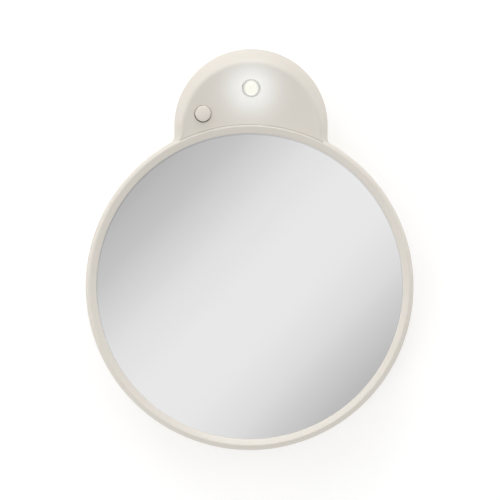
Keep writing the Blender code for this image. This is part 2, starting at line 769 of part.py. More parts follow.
def back_cover():
    cover = cover_block()
    cut(cover, flat_plate("cover_inside", [case_outline(COVER_WALL)], cover_floor, cover_top + OVERRUN))
    rib_outer = foam_inner_radius + (FOAM_WIDTH + RIB_WIDTH) / 2
    wall_outer = pocket_radius + POCKET_WALL
    post_top = cover_floor + DOOR_POST_LENGTH
    outside = STAND_OFF - OVERRUN
    join(
        cover,
        flat_plate("door_backing", [door_outline(DOOR_SEAT)], cover_floor - EMBED, door_seat_front),
        flat_plate("pocket_wall", [stadium(wall_outer)], door_seat_front - EMBED, pocket_top),
        cover_ring("glass_rib", rib_outer - RIB_WIDTH, rib_outer, foam_back - FIT),
        snap_tongue(),
        cylinder("door_post", DOOR_POST_RADIUS, door_seat_front - EMBED, post_top, door_screw_place),
    )
    for number, spot in enumerate(screw_places, 1):
        seat_low = cover_floor - EMBED
        seat_top = cover_top - CONTACT_GAP
        join(cover, cylinder(f"screw_seat_{number}", SCREW_SEAT_RADIUS, seat_low, seat_top, spot))
    for number, spot in enumerate(stakes, 1):
        stake_top = board_front + STAKE_PROUD
        stake_low = pocket_top - EMBED
        join(cover, cylinder(f"stake_{number}", STAKE_RADIUS, stake_low, stake_top, spot, PIN_SIDES))
    cut(
        cover,
        flat_plate("cell_pocket", [stadium(pocket_radius)], outside, pocket_floor),
        flat_plate("door_recess", [door_outline(FIT)], outside, door_inner + FIT),
    )
    for number, spot in enumerate(screw_places, 1):
        top = cover_top + OVERRUN
        cut(
            cover,
            cylinder(f"screw_hole_{number}", screw_hole_radius, head_front, top, spot, SCREW_SIDES),
            cylinder(f"head_hole_{number}", head_hole_radius, outside, head_front + FIT, spot),
        )
    for number, spot in enumerate(cup_places, 1):
        inside = cover_floor + OVERRUN
        cut(cover, cylinder(f"cup_hole_{number}", cup_hole_radius, outside, inside, spot))
    screw_end = STAND_OFF + DOOR_SCREW_LENGTH + FIT
    cut(
        cover,
        cylinder(
            "door_screw_hole", screw_hole_radius, STAND_OFF, screw_end, door_screw_place, SCREW_SIDES
        ),
    )
    for number, (spot, spin) in enumerate(tab_places, 1):
        top = pocket_top + FIT
        cut(cover, strip_slot(f"floor_slot_{number}", spot, STRIP_WIDTH, pocket_floor - FIT, top, spin))
    return cover


# Battery door, its screw and the cells


def cross_recess(screw, name, centre, back):
    """Two crossed slots in the back of a screw head."""
    depth = CROSS_DEPTH + OVERRUN
    at = (*centre, back + CROSS_DEPTH - depth / 2)
    cut(screw, box(f"{name}_slot_1", (CROSS_LENGTH, CROSS_WIDTH, depth), at=at))
    cut(screw, box(f"{name}_slot_2", (CROSS_WIDTH, CROSS_LENGTH, depth), at=at))


def pan_screw(name, centre):
    """A pan-head screw, driven from the back."""
    tip = head_front + SCREW_LENGTH
    edge = SCREW_HEAD_EDGE
    profile = [
        (0, tip),
        (SCREW_RADIUS - SCREW_TIP, tip),
        (SCREW_RADIUS, tip - SCREW_TIP),
        (SCREW_RADIUS, head_front),
        (SCREW_HEAD_RADIUS, head_front),
        (SCREW_HEAD_RADIUS, head_back + edge),
        (SCREW_HEAD_RADIUS - edge, head_back),
        (0, head_back),
    ]
    screw = turned(name, profile, SCREW_SIDES, steel, at=(*centre, 0))
    cross_recess(screw, name, centre, head_back)
    return screw


def battery_door():
    door = flat_plate("battery_door", [door_outline(0)], STAND_OFF, door_inner, cream)
    top = STAND_OFF + SCREW_SUNK + DOOR_SCREW_CONE
    cone = [
        (0, door_inner + OVERRUN),
        (screw_hole_radius, door_inner + OVERRUN),
        (screw_hole_radius, top + FIT),
        (head_hole_radius, STAND_OFF + SCREW_SUNK),
        (head_hole_radius, STAND_OFF - OVERRUN),
        (0, STAND_OFF - OVERRUN),
    ]
    cut(door, turned("door_cone", cone, HOLE_SIDES, at=(*door_screw_place, 0)))
    groove_depth = DOOR_GRIP_DEPTH + OVERRUN
    for number in range(DOOR_GRIPS):
        height = cell_height + DOOR_GRIP_PITCH * (number - (DOOR_GRIPS - 1) / 2)
        at = (0, height, STAND_OFF + DOOR_GRIP_DEPTH - groove_depth / 2)
        cut(door, box(f"door_grip_{number + 1}", (DOOR_GRIP_WIDTH, DOOR_GRIP_HEIGHT, groove_depth), at=at))
    return door


def battery_door_screw():
    back = STAND_OFF + SCREW_SUNK
    tip = STAND_OFF + DOOR_SCREW_LENGTH
    profile = [
        (0, tip),
        (SCREW_RADIUS - SCREW_TIP, tip),
        (SCREW_RADIUS, tip - SCREW_TIP),
        (SCREW_RADIUS, back + DOOR_SCREW_CONE),
        (SCREW_HEAD_RADIUS, back),
        (0, back),
    ]
    screw = turned("battery_door_screw", profile, SCREW_SIDES, steel, at=(*door_screw_place, 0))
    cross_recess(screw, "battery_door_screw", door_screw_place, back)
    return screw


def coin_cell(name, side):
    cap_level = cell_front - CELL_CAP_HEIGHT
    cap_radius = CELL_RADIUS - CELL_CAP_INSET
    profile = [
        (0, cell_front),
        (cap_radius, cell_front),
        (cap_radius, cap_level),
        (CELL_RADIUS - CELL_CRIMP, cap_level),
        (CELL_RADIUS, cap_level - CELL_CRIMP),
        (CELL_RADIUS, cell_back + CELL_CRIMP),
        (CELL_RADIUS - CELL_CRIMP, cell_back),
        (0, cell_back),
    ]
    return turned(name, profile, 2 * POCKET_STEPS, steel, at=(side * cell_across, cell_height, 0))


def strip(name, route, across, **where):
    """A bent metal strip: a route of (along, depth) points, drawn out across and thickened."""
    bm = bmesh.new()
    near = [bm.verts.new((along, -across / 2, depth)) for along, depth in route]
    far = [bm.verts.new((along, across / 2, depth)) for along, depth in route]
    for k in range(len(route) - 1):
        bm.faces.new((near[k], near[k + 1], far[k + 1], far[k]))
    obj = from_bmesh(name, bm, strip_metal, **where)
    thicken = obj.modifiers.new("thickness", "SOLIDIFY")
    thicken.thickness = STRIP_THICKNESS
    thicken.offset = 0.0
    thicken.use_even_offset = True
    return obj


bump_level = cell_front + CONTACT_GAP + STRIP_THICKNESS / 2
tab_top = board_front + TAB_PROUD
rim_low = cell_back + CELL_CRIMP


def contact_negative():
    """Lies on the pocket floor under the left cell and rises through the board."""
    route = [
        (-cell_across - STRIP_BUMP, strip_level),
        (-cell_across - STRIP_BUMP / 2, bump_level),
        (-cell_across + STRIP_BUMP / 2, bump_level),
        (-cell_across + STRIP_BUMP, strip_level),
        (-negative_tab, strip_level),
        (-negative_tab, tab_top),
    ]
    return strip("contact_negative", route, STRIP_WIDTH, at=(0, cell_height, 0))


def contact_link():
    """Touches the left cell's rim and runs on under the right cell."""
    rim = -cell_across + CELL_RADIUS + CONTACT_GAP + STRIP_THICKNESS / 2
    route = [
        (rim, rim_low),
        (rim, strip_level),
        (cell_across - STRIP_BUMP, strip_level),
        (cell_across - STRIP_BUMP / 2, bump_level),
        (cell_across + STRIP_BUMP / 2, bump_level),
        (cell_across + STRIP_BUMP, strip_level),
    ]
    return strip("contact_link", route, STRIP_WIDTH, at=(0, cell_height, 0))


def contact_positive():
    """Stands beside the right cell's rim and rises through the board."""
    route = [
        (STRIP_RISE, rim_low),
        (0, rim_low + STRIP_RISE),
        (0, tab_top),
    ]
    return strip("contact_positive", route, STRIP_WIDTH, at=(*positive_place, 0), spin=POSITIVE_ANGLE)


# Circuit board with its parts


def circuit_board():
    """A board inside the dome whose lower edge follows the ring."""
    board_radius = dome_radius - COVER_WALL - BOARD_EDGE_GAP
    middle = (0, dome_centre)
    board = cylinder(
        "circuit_board", board_radius, board_back, board_front, middle, BOARD_SIDES, board_green
    )
    low = board_back - OVERRUN
    high = board_front + OVERRUN
    side_room = dome_radius - board_width / 2
    full = 2 * RING_RADIUS
    cut(board, cylinder("board_foot", RING_RADIUS + BOARD_FOOT_GAP, low, high, sides=2 * BOARD_SIDES))
    cut(board, box("board_head", (full, full, high - low), at=(0, board_top + full / 2, (low + high) / 2)))
    for side, name in ((-1, "board_left"), (1, "board_right")):
        at = (side * (board_width + side_room) / 2, dome_centre, (low + high) / 2)
        cut(board, box(name, (side_room, full, high - low), at=at))
    for number, spot in enumerate(screw_places[1:], 1):
        cut(board, cylinder(f"board_notch_{number}", BOSS_RADIUS + EMBED, low, high, spot))
    for number, spot in enumerate(stakes, 1):
        cut(board, cylinder(f"stake_hole_{number}", STAKE_RADIUS + FIT, low, high, spot, PIN_SIDES))
    for number, x in enumerate((-LEAD_SPACING / 2, LEAD_SPACING / 2), 1):
        spot = (x, lead_foot)
        cut(board, cylinder(f"lead_hole_{number}", LEAD_RADIUS + FIT, low, high, spot, PIN_SIDES))
    for number, spot in enumerate(pin_places, 1):
        cut(board, cylinder(f"pin_hole_{number}", PIN_RADIUS + FIT, low, high, spot, PIN_SIDES))
    for number, (spot, spin) in enumerate(tab_places, 1):
        cut(board, strip_slot(f"board_slot_{number}", spot, STRIP_WIDTH, low, high, spin))
    return board


def resistor():
    at = (*resistor_place, board_front + CONTACT_GAP + RESISTOR_SIZE[2] / 2)
    return box("resistor", RESISTOR_SIZE, black_plastic, round_by=RESISTOR_EDGE, at=at)


def led_lens():
    shoulder = LED_LENGTH - LED_RADIUS
    crown = [
        (LED_RADIUS * sin(a), shoulder + LED_RADIUS * cos(a))
        for a in np.linspace(0, pi / 2, ROUND_POINTS)
    ]
    profile = [(0, LED_LENGTH)] + crown[1:]
    profile += [
        (LED_RADIUS, LED_FLANGE_HEIGHT),
        (LED_FLANGE_RADIUS, LED_FLANGE_HEIGHT),
        (LED_FLANGE_RADIUS, 0),
        (0, 0),
    ]
    return turned("led_lens", profile, HOLE_SIDES, clear_epoxy, at=led_base, tilt=LED_TILT)


lead_start = led_base - led_axis * CONTACT_GAP
lead_knee = lead_start - led_axis * LEAD_STRAIGHT
lead_foot = lead_knee.y


def led_lead(name, side):
    """A leg of the lamp, straight out of its base and then down into the board."""
    x = side * LEAD_SPACING / 2
    end = board_back + CONTACT_GAP
    middle = (lead_knee.z + end) / 2
    route = [
        (x, lead_start.y, lead_start.z),
        (x, lead_knee.y, lead_knee.z),
        (x, lead_foot, middle),
        (x, lead_foot, end),
    ]
    return tube(name, route, LEAD_RADIUS, WIRE_ROUNDNESS, steel)


# Push button and switch

pin_places = [(button_place[0] + side * PIN_SPACING / 2, button_place[1]) for side in (-1, 1)]
plunger_flange_top = cover_sheet_back - CONTACT_GAP
plunger_flange_bottom = plunger_flange_top - PLUNGER_FLANGE_HEIGHT
bore_floor = plunger_flange_bottom - BUTTON_TRAVEL - SPRING_PRESSED
sheet_hole_radius = PLUNGER_RADIUS + FIT


def button_cap():
    """The cap's origin is on its line of travel, at the dome's surface."""
    crown = button_surface + BUTTON_PROUD
    crown_points = [
        (BUTTON_RADIUS * sin(a), crown - BUTTON_CROWN + BUTTON_CROWN * cos(a))
        for a in np.linspace(0, pi / 2, ROUND_POINTS)
    ]
    profile = [(radius, depth - button_surface) for radius, depth in crown_points]
    profile += [
        (BUTTON_RADIUS, flange_top - button_surface),
        (flange_radius, flange_top - button_surface),
        (flange_radius, flange_bottom - button_surface),
        (0, flange_bottom - button_surface),
    ]
    return turned("button_cap", profile, HOLE_SIDES, cream, at=(*button_place, button_surface))


def switch_plunger():
    top = flange_bottom - CONTACT_GAP
    profile = [
        (0, top),
        (PLUNGER_RADIUS, top),
        (PLUNGER_RADIUS, plunger_flange_top),
        (PLUNGER_FLANGE_RADIUS, plunger_flange_top),
        (PLUNGER_FLANGE_RADIUS, plunger_flange_bottom),
        (0, plunger_flange_bottom),
    ]
    return turned("switch_plunger", profile, HOLE_SIDES, black_plastic, at=(*button_place, 0))


def switch_body():
    size = (SWITCH_SIZE, SWITCH_SIZE, SWITCH_HEIGHT)
    at = (*button_place, (switch_back + switch_front) / 2)
    body = box("switch_body", size, black_plastic, round_by=SWITCH_CORNER / 2, at=at)
    cut(body, cylinder("switch_bore", SWITCH_BORE, bore_floor, switch_front + OVERRUN, button_place))
    return body


def switch_cover():
    half = SWITCH_SIZE / 2
    x, y = button_place
    corners = [(x - half, y - half), (x + half, y - half), (x + half, y + half), (x - half, y + half)]
    hole = arc(button_place, sheet_hole_radius, 0, 2 * pi, HOLE_SIDES)[:-1]
    return flat_plate("switch_cover", [corners, hole], cover_sheet_back, cover_sheet_front, steel)


def switch_spring():
    """A coil spring between the bore's floor and the plunger's flange."""
    low = bore_floor + CONTACT_GAP + SPRING_WIRE / 2
    high = plunger_flange_bottom - CONTACT_GAP - SPRING_WIRE / 2
    count = round(SPRING_TURNS * SPRING_POINTS)
    points = []
    for step in range(count + 1):
        angle = 2 * pi * step / SPRING_POINTS
        x = SPRING_RADIUS * cos(angle)
        y = SPRING_RADIUS * sin(angle)
        points.append((x, y, low + (high - low) * step / count))
    gap = coil_gap(points)
    print(f"switch_spring: least gap between its turns {gap / MM:.2f} mm")
    return tube("switch_spring", points, SPRING_WIRE / 2, WIRE_ROUNDNESS, steel, at=(*button_place, 0))


def coil_gap(points):
    """Least clear distance between points half a turn or more apart."""
    spots = np.array(points)
    least = SPRING_RADIUS
    for k in range(len(spots) - SPRING_POINTS // 2):
        apart = np.linalg.norm(spots[k + SPRING_POINTS // 2 :] - spots[k], axis=1)
        least = min(least, apart.min() - SPRING_WIRE)
    return least


def switch_pin(name, spot):
    low = board_back + CONTACT_GAP
    high = switch_back - CONTACT_GAP
    return cylinder(name, PIN_RADIUS, low, high, spot, PIN_SIDES, steel)


# Suction cups


def suction_cup(name, centre):
    """A cup with its lip on the wall and its head snapped through the cover."""
    shoulder = STAND_OFF - FIT
    head_low = cover_floor + FIT
    head_high = head_low + CUP_HEAD_HEIGHT
    lip_inner = CUP_RADIUS - CUP_LIP
    bell_height = CUP_HOLLOW + CUP_WALL
    bell_run = CUP_RADIUS - CUP_SHOULDER_RADIUS
    bell = [
        (CUP_SHOULDER_RADIUS + bell_run * out_share, bell_height * up_share)
        for out_share, up_share in CUP_BELL_SHARES
    ]
    hollow = [(lip_inner * share, CUP_HOLLOW * (1 - share**2)) for share in CUP_HOLLOW_SHARES]
    profile = [
        (0, head_high),
        (CUP_NECK_RADIUS, head_high),
        (CUP_HEAD_RADIUS, head_low + CUP_WALL / 2),
        (CUP_HEAD_RADIUS, head_low),
        (CUP_NECK_RADIUS, head_low),
        (CUP_NECK_RADIUS, shoulder),
        (CUP_SHOULDER_RADIUS, shoulder),
        *bell,
        (CUP_RADIUS, 0),
        *hollow,
        (0, CUP_HOLLOW),
    ]
    return turned(name, profile, CUP_STEPS, cup_vinyl, at=(*centre, 0))


front_frame()
mirror_glass()
foam_ring()
back_cover()
battery_door()
battery_door_screw()
coin_cell("coin_cell_1", -1)
coin_cell("coin_cell_2", 1)
contact_negative()
contact_link()
contact_positive()
circuit_board()
resistor()
led_lens()
led_lead("led_lead_1", -1)
led_lead("led_lead_2", 1)
button_cap()
switch_plunger()
switch_body()
switch_cover()
switch_spring()
for pin_number, pin_spot in enumerate(pin_places, 1):
    switch_pin(f"switch_pin_{pin_number}", pin_spot)
for screw_number, screw_spot in enumerate(screw_places, 1):
    pan_screw(f"case_screw_{screw_number}", screw_spot)
for cup_number, cup_spot in enumerate(cup_places, 1):
    suction_cup(f"suction_cup_{cup_number}", cup_spot)

bpy.context.view_layer.update()
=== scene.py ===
# Looks of the lighted makeup mirror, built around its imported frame.
# Pieces are drawn lying down, in millimetres: x across, y up the mirror, z out of the wall.
# standUp() turns them upright into the frame's metres. The stage and the studio are in metres.

from math import atan2, copysign, cos, pi, radians, sin, sqrt

import bmesh
import bpy
import numpy as np
from mathutils import Matrix, Vector
from mathutils.bvhtree import BVHTree


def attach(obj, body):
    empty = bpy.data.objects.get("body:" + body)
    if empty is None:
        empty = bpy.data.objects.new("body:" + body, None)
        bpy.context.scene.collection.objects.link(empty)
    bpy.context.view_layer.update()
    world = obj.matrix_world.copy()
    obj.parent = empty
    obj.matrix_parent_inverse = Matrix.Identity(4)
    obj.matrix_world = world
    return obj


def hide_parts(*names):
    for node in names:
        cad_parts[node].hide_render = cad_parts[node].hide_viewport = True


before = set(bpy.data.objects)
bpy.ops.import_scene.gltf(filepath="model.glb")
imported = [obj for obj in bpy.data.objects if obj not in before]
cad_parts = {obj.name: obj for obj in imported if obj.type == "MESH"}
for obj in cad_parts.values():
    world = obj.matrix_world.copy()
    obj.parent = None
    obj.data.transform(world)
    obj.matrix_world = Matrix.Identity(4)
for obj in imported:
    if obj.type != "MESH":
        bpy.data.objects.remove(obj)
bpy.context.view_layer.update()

print("frame loaded:", len(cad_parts), "nodes")

mm = 0.001
lyingToFrame = Matrix.Rotation(pi / 2, 4, "X") @ Matrix.Scale(mm, 4)
overrun = 2.0  # how far a cutter reaches past what it cuts
embed = 0.5  # how far a joined piece reaches into what carries it


# Mesh helpers

def addObject(name, data):
    obj = bpy.data.objects.new(name, data)
    bpy.context.scene.collection.objects.link(obj)
    return obj


def makeObject(name, bm):
    bmesh.ops.recalc_face_normals(bm, faces=bm.faces[:])
    mesh = bpy.data.meshes.new(name)
    bm.to_mesh(mesh)
    bm.free()
    return addObject(name, mesh)


def turnProfile(name, profile, steps=96, closed=False, centre=(0, 0), tilt=0.0, lift=0.0):
    bm = bmesh.new()
    angles = [2 * pi * k / steps for k in range(steps)]
    rows = []
    for radius, level in profile:
        if radius < 1e-6:
            rows.append([bm.verts.new((0, 0, level))])
        else:
            rows.append([bm.verts.new((radius * cos(a), radius * sin(a), level)) for a in angles])
    for here, there in zip(rows, rows[1:] + rows[:1] if closed else rows[1:]):
        for k in range(steps):
            after = (k + 1) % steps
            if len(here) == 1 and len(there) == 1:
                continue
            if len(here) == 1:
                bm.faces.new((here[0], there[k], there[after]))
            elif len(there) == 1:
                bm.faces.new((here[k], there[0], here[after]))
            else:
                bm.faces.new((here[k], there[k], there[after], here[after]))
    bm.transform(Matrix.Translation((*centre, lift)) @ Matrix.Rotation(tilt, 4, "X"))
    return makeObject(name, bm)


def bend(start, corner, end, t):
    return start * (1 - t) ** 2 + corner * 2 * t * (1 - t) + end * t**2


def roundCorners(corners, steps=4, closed=False):
    # corners are (x, y) or (x, y, radius); each one with a radius becomes a short curve
    points = []
    count = len(corners)
    for k, corner in enumerate(corners):
        here = Vector(corner[:2])
        reach = corner[2] if len(corner) > 2 else 0.0
        if not reach or (not closed and k in (0, count - 1)):
            points.append(tuple(here))
            continue
        before = Vector(corners[k - 1][:2]) - here
        after = Vector(corners[(k + 1) % count][:2]) - here
        reach = min(reach, 0.45 * before.length, 0.45 * after.length)
        start = here + before.normalized() * reach
        end = here + after.normalized() * reach
        points += [tuple(bend(start, here, end, step / steps)) for step in range(steps + 1)]
    return points


def stitch(bm, rows):
    # joins equal rows of vertices into a closed tube with flat ends
    for here, there in zip(rows, rows[1:]):
        for k in range(len(here)):
            after = (k + 1) % len(here)
            bm.faces.new((here[k], here[after], there[after], there[k]))
    bm.faces.new(rows[0][::-1])
    bm.faces.new(rows[-1])


def prism(name, outlineAt, layers):
    # outlineAt(grow) gives the same number of points for every layer's (grow, level)
    bm = bmesh.new()
    stitch(bm, [[bm.verts.new((x, y, level)) for x, y in outlineAt(grow)] for grow, level in layers])
    return makeObject(name, bm)


def pillar(name, radius, low, high, centre=(0, 0), steps=48, **where):
    return turnProfile(name, [(0, low), (radius, low), (radius, high), (0, high)], steps, centre=centre, **where)


def holeCutter(name, radius, low, high, centre, mouth, ease, steps=48):
    # a round cutter that also cuts a fine sloping groove, ease wide and deep, round the hole's mouth
    curve = [(radius + ease * (1 - sin(a)), mouth - ease * cos(a)) for a in np.linspace(pi / 2, 0, 6)]
    if abs(low - mouth) < abs(high - mouth):
        curve = [(r, 2 * mouth - level) for r, level in curve]
        profile = [(0, high), (radius, high)] + curve + [(curve[-1][0], low), (0, low)]
    else:
        profile = [(0, low), (radius, low)] + curve + [(curve[-1][0], high), (0, high)]
    return turnProfile(name, profile, steps, centre=centre)


def roundBox(name, size, centre, bevel=0.0, segments=3, spin=0.0):
    bm = bmesh.new()
    bmesh.ops.create_cube(bm, size=1.0, matrix=Matrix.Diagonal((*size, 1.0)))
    if bevel:
        bmesh.ops.bevel(bm, geom=bm.edges[:], offset=bevel, segments=segments, profile=0.5, affect="EDGES")
    bm.transform(Matrix.Translation(centre) @ Matrix.Rotation(spin, 4, "Z"))
    return makeObject(name, bm)


def combine(target, operation, tools):
    for tool in tools:
        step = target.modifiers.new(tool.name, "BOOLEAN")
        step.operation = operation
        step.solver = "MANIFOLD"
        step.object = tool
        graph = bpy.context.evaluated_depsgraph_get()
        mesh = bpy.data.meshes.new_from_object(target.evaluated_get(graph))
        target.modifiers.clear()
        old = target.data
        target.data = mesh
        bpy.data.meshes.remove(old)
        bpy.data.objects.remove(tool)
    target.data.name = target.name


def join(target, *tools):
    combine(target, "UNION", tools)


def cut(target, *tools):
    combine(target, "DIFFERENCE", tools)


def standUp(obj, material, sharp=32.0):
    bm = bmesh.new()
    bm.from_mesh(obj.data)
    bmesh.ops.remove_doubles(bm, verts=bm.verts[:], dist=0.00002)
    bm.transform(lyingToFrame)
    bm.to_mesh(obj.data)
    bm.free()
    obj.data.polygons.foreach_set("use_smooth", [True] * len(obj.data.polygons))
    obj.data.set_sharp_from_angle(angle=radians(sharp))
    obj.data.materials.clear()
    obj.data.materials.append(material)


def dress(obj, body, slot, *nodes):
    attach(obj, body)
    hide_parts(*nodes)


# Material helpers

def newMaterial(name):
    material = bpy.data.materials.new(name)
    material.use_nodes = True
    tree = material.node_tree
    shader = tree.nodes["Principled BSDF"]
    return material, tree, shader


def addNode(tree, kind, **settings):
    node = tree.nodes.new("ShaderNode" + kind)
    for key, value in settings.items():
        if key in node.inputs:
            put(value, node.inputs[key])
        else:
            setattr(node, key, value)
    return node


def put(value, socket):
    # wires a socket in, or sets a number or a colour there
    if isinstance(value, bpy.types.NodeSocket):
        socket.id_data.links.new(value, socket)
    elif socket.type == "RGBA":
        socket.default_value = (*value, 1)
    else:
        socket.default_value = value


def feed(node, *values):
    # inputs in their order
    for value, socket in zip(values, node.inputs):
        put(value, socket)
    return node


def fill(node, inputs):
    # inputs by their names
    for name, value in inputs.items():
        put(value, node.inputs[name])
    return node


def mathStep(tree, operation, *values):
    return feed(addNode(tree, "Math", operation=operation), *values).outputs[0]


def vectorStep(tree, operation, *values):
    node = feed(addNode(tree, "VectorMath", operation=operation), *values)
    return node.outputs["Value" if operation in ("LENGTH", "DOT_PRODUCT") else "Vector"]


def mixColours(tree, factor, colourA, colourB):
    node = addNode(tree, "Mix", data_type="RGBA")
    for value, slot in ((factor, 0), (colourA, 6), (colourB, 7)):  # the colour inputs of the Mix node
        put(value, node.inputs[slot])
    return node.outputs[2]


def mixShaders(tree, factor, shaderA, shaderB):
    return feed(addNode(tree, "MixShader"), factor, shaderA, shaderB).outputs[0]


def alongY(tree, place):
    return feed(addNode(tree, "SeparateXYZ"), place).outputs["Y"]


def colourRamp(tree, value, stops, interpolation="LINEAR"):
    # stops are (place, colour)
    ramp = addNode(tree, "ValToRGB", Fac=value)
    ramp.color_ramp.interpolation = interpolation
    elements = ramp.color_ramp.elements
    elements.remove(elements[1])
    for k, (where, colour) in enumerate(stops):
        element = elements[0] if k == 0 else elements.new(where)
        element.position = where
        element.color = (*colour, 1)
    return ramp.outputs["Color"]


def blend(tree, factor, colourA, colourB, spread=(0.3, 0.7)):
    return colourRamp(tree, factor, zip(spread, (colourA, colourB)))


def grey(tone):
    return (tone, tone, tone)


def cameraSees(tree):
    # 1 for the camera's own rays, also through clear pieces
    path = addNode(tree, "LightPath").outputs
    return mathStep(tree, "MAXIMUM", path["Is Camera Ray"], path["Is Transmission Ray"])


def objectPlace(tree, stretch=(1, 1, 1)):
    place = addNode(tree, "TexCoord").outputs["Object"]
    return addNode(tree, "Mapping", Vector=place, Scale=stretch).outputs["Vector"]


def noise(tree, place, size, detail=2.0, rough=0.5, lift=0.0):
    # size is the width of a blotch in millimetres, and another lift gives another pattern
    node = addNode(tree, "TexNoise", Vector=place, Scale=1 / (size * mm), Detail=detail, Roughness=rough)
    if lift:
        node.noise_dimensions = "4D"
        put(lift, node.inputs["W"])
    return node.outputs["Fac"]


def remap(tree, value, low, high, fromLow=0.3, fromHigh=0.7):
    node = addNode(tree, "MapRange")
    fill(node, {"Value": value, "From Min": fromLow, "From Max": fromHigh, "To Min": low, "To Max": high})
    return node.outputs["Result"]


def bump(tree, height, depth, under=None):
    # depth is the height difference in millimetres
    node = addNode(tree, "Bump", Strength=1.0, Distance=depth * mm, Height=height)
    if under:
        put(under, node.inputs["Normal"])
    return node.outputs["Normal"]


def shade(colour, share):
    return tuple(c * share for c in colour)


# Finishes

creamPlastic = {
    "colour": (0.71, 0.668, 0.604),
    "mottle": 0.985,
    "mottleSize": 24.0,
    "roughness": (0.34, 0.42),
    "cloudSize": 6.0,
    "grainSize": 0.45,
    "grainDepth": 0.010,
    "sinkSize": 14.0,
    "sinkDepth": 0.03,
    "coat": 0.08,
    "coatRoughness": 0.22,
}


def makePlastic(name, look):
    material, tree, shader = newMaterial(name)
    place = objectPlace(tree)
    mottle = noise(tree, place, look["mottleSize"], 3.0)
    cloud = noise(tree, place, look["cloudSize"], 4.0, 0.6, lift=3.0)
    grain = noise(tree, place, look["grainSize"], 2.0, 0.5, lift=1.0)
    sink = noise(tree, place, look["sinkSize"], 1.0, 0.4, lift=2.0)
    fill(shader, {
        "Base Color": blend(tree, mottle, look["colour"], shade(look["colour"], look["mottle"])),
        "Roughness": remap(tree, cloud, *look["roughness"]),
        "Normal": bump(tree, grain, look["grainDepth"], under=bump(tree, sink, look["sinkDepth"])),
        "Coat Weight": look["coat"],
        "Coat Roughness": look["coatRoughness"],
    })
    return material


casePlastic = makePlastic("caseCream", creamPlastic)
backPlastic = makePlastic("backCream", {
    **creamPlastic, "roughness": (0.42, 0.52), "grainSize": 0.6, "grainDepth": 0.03,
})
buttonPlastic = makePlastic("buttonCream", {
    **creamPlastic, "colour": (0.72, 0.668, 0.61), "roughness": (0.2, 0.27), "coat": 0.3,
})
blackPlastic = makePlastic("switchBlack", {
    **creamPlastic, "colour": (0.025, 0.025, 0.028), "mottle": 0.8, "roughness": (0.36, 0.5), "coat": 0.0,
})

silvering = {
    "colour": (0.90, 0.90, 0.90),
    "haze": (0.012, 0.03),
    "hazeSize": 8.0,
    "ripple": 0.0006,
    "rippleSize": 40.0,
    "lipShadeWobble": 0.08,  # how much the inner edge of the painted lip shade wanders
    "coat": 0.3,
    "coatRoughness": 0.02,
    "edge": (53.05, 53.35),  # how far from the middle the painted shade beside the lip begins and turns full; the darker ring stands for the lip's shade on the glass
    # painted shade: the darker colour of the ring beside the lip
    "lipShadeColour": (0.74, 0.74, 0.74),
    "drop": (0.08, -0.26),  # the painted lip shade's circle is set a little low, so the darker ring shows at the top and hides at the bottom
}


def makeSilvering(look):
    material, tree, shader = newMaterial("silveredGlass")
    place = objectPlace(tree)
    cloud = noise(tree, place, 30.0, 2.0)
    face = blend(tree, cloud, look["colour"], shade(look["colour"], 0.995))
    # painted shade: a darker ring where the glass meets the lip, set low so it shows at the top, stands for the
    # lip's shade on the glass
    centred = vectorStep(tree, "SUBTRACT", place, (look["drop"][0] * mm, 0, look["drop"][1] * mm))
    reach = vectorStep(tree, "LENGTH", vectorStep(tree, "MULTIPLY", centred, (1, 0, 1)))
    lipShadeWobble = remap(tree, noise(tree, place, 3.0, 3.0, lift=6.0), -look["lipShadeWobble"] * mm, look["lipShadeWobble"] * mm)
    fromMiddle = mathStep(tree, "ADD", reach, lipShadeWobble)
    rim = remap(tree, fromMiddle, 0.0, 1.0, look["edge"][0] * mm, look["edge"][1] * mm)
    smudge = noise(tree, place, look["hazeSize"], 5.0, 0.6, lift=4.0)
    ripple = noise(tree, place, look["rippleSize"], 0.0, lift=2.0)
    fill(shader, {
        "Base Color": mixColours(tree, rim, face, look["lipShadeColour"]),
        "Roughness": remap(tree, smudge, *look["haze"], 0.45, 0.75),
        "Normal": bump(tree, ripple, look["ripple"]),
        "Metallic": 1.0,
        "Coat Weight": look["coat"],
        "Coat Roughness": look["coatRoughness"],
    })
    return material


mirrorSilver = makeSilvering(silvering)


metals = {
    # name: (colour, roughness, stretch of the brushed lines, their depth)
    "screwNickel": ((0.62, 0.60, 0.56), (0.22, 0.38), (1, 1, 6), 0.004),
    "cellSteel": ((0.68, 0.67, 0.65), (0.18, 0.32), (8, 1, 1), 0.004),
    "stripNickel": ((0.74, 0.71, 0.66), (0.16, 0.3), (1, 9, 1), 0.004),
    "legTin": ((0.66, 0.66, 0.65), (0.25, 0.42), (1, 1, 1), 0.004),
}


def makeMetal(name):
    colour, roughness, stretch, depth = metals[name]
    material, tree, shader = newMaterial(name)
    cloud = noise(tree, objectPlace(tree), 2.5, 3.0)
    lines = noise(tree, objectPlace(tree, stretch), 0.35, 4.0, 0.7, lift=1.0)
    fill(shader, {
        "Base Color": blend(tree, cloud, colour, shade(colour, 0.86)),
        "Roughness": remap(tree, lines, *roughness),
        "Normal": bump(tree, lines, depth),
        "Metallic": 1.0,
    })
    return material


screwSteel, cellSteel, stripNickel, legTin = [makeMetal(name) for name in metals]

foamLook = {
    "colours": ((0.012, 0.012, 0.013), (0.05, 0.05, 0.052)),
    "cellSize": 0.35,
    "cellDepth": 0.12,
    "roughness": (0.8, 0.95),
}


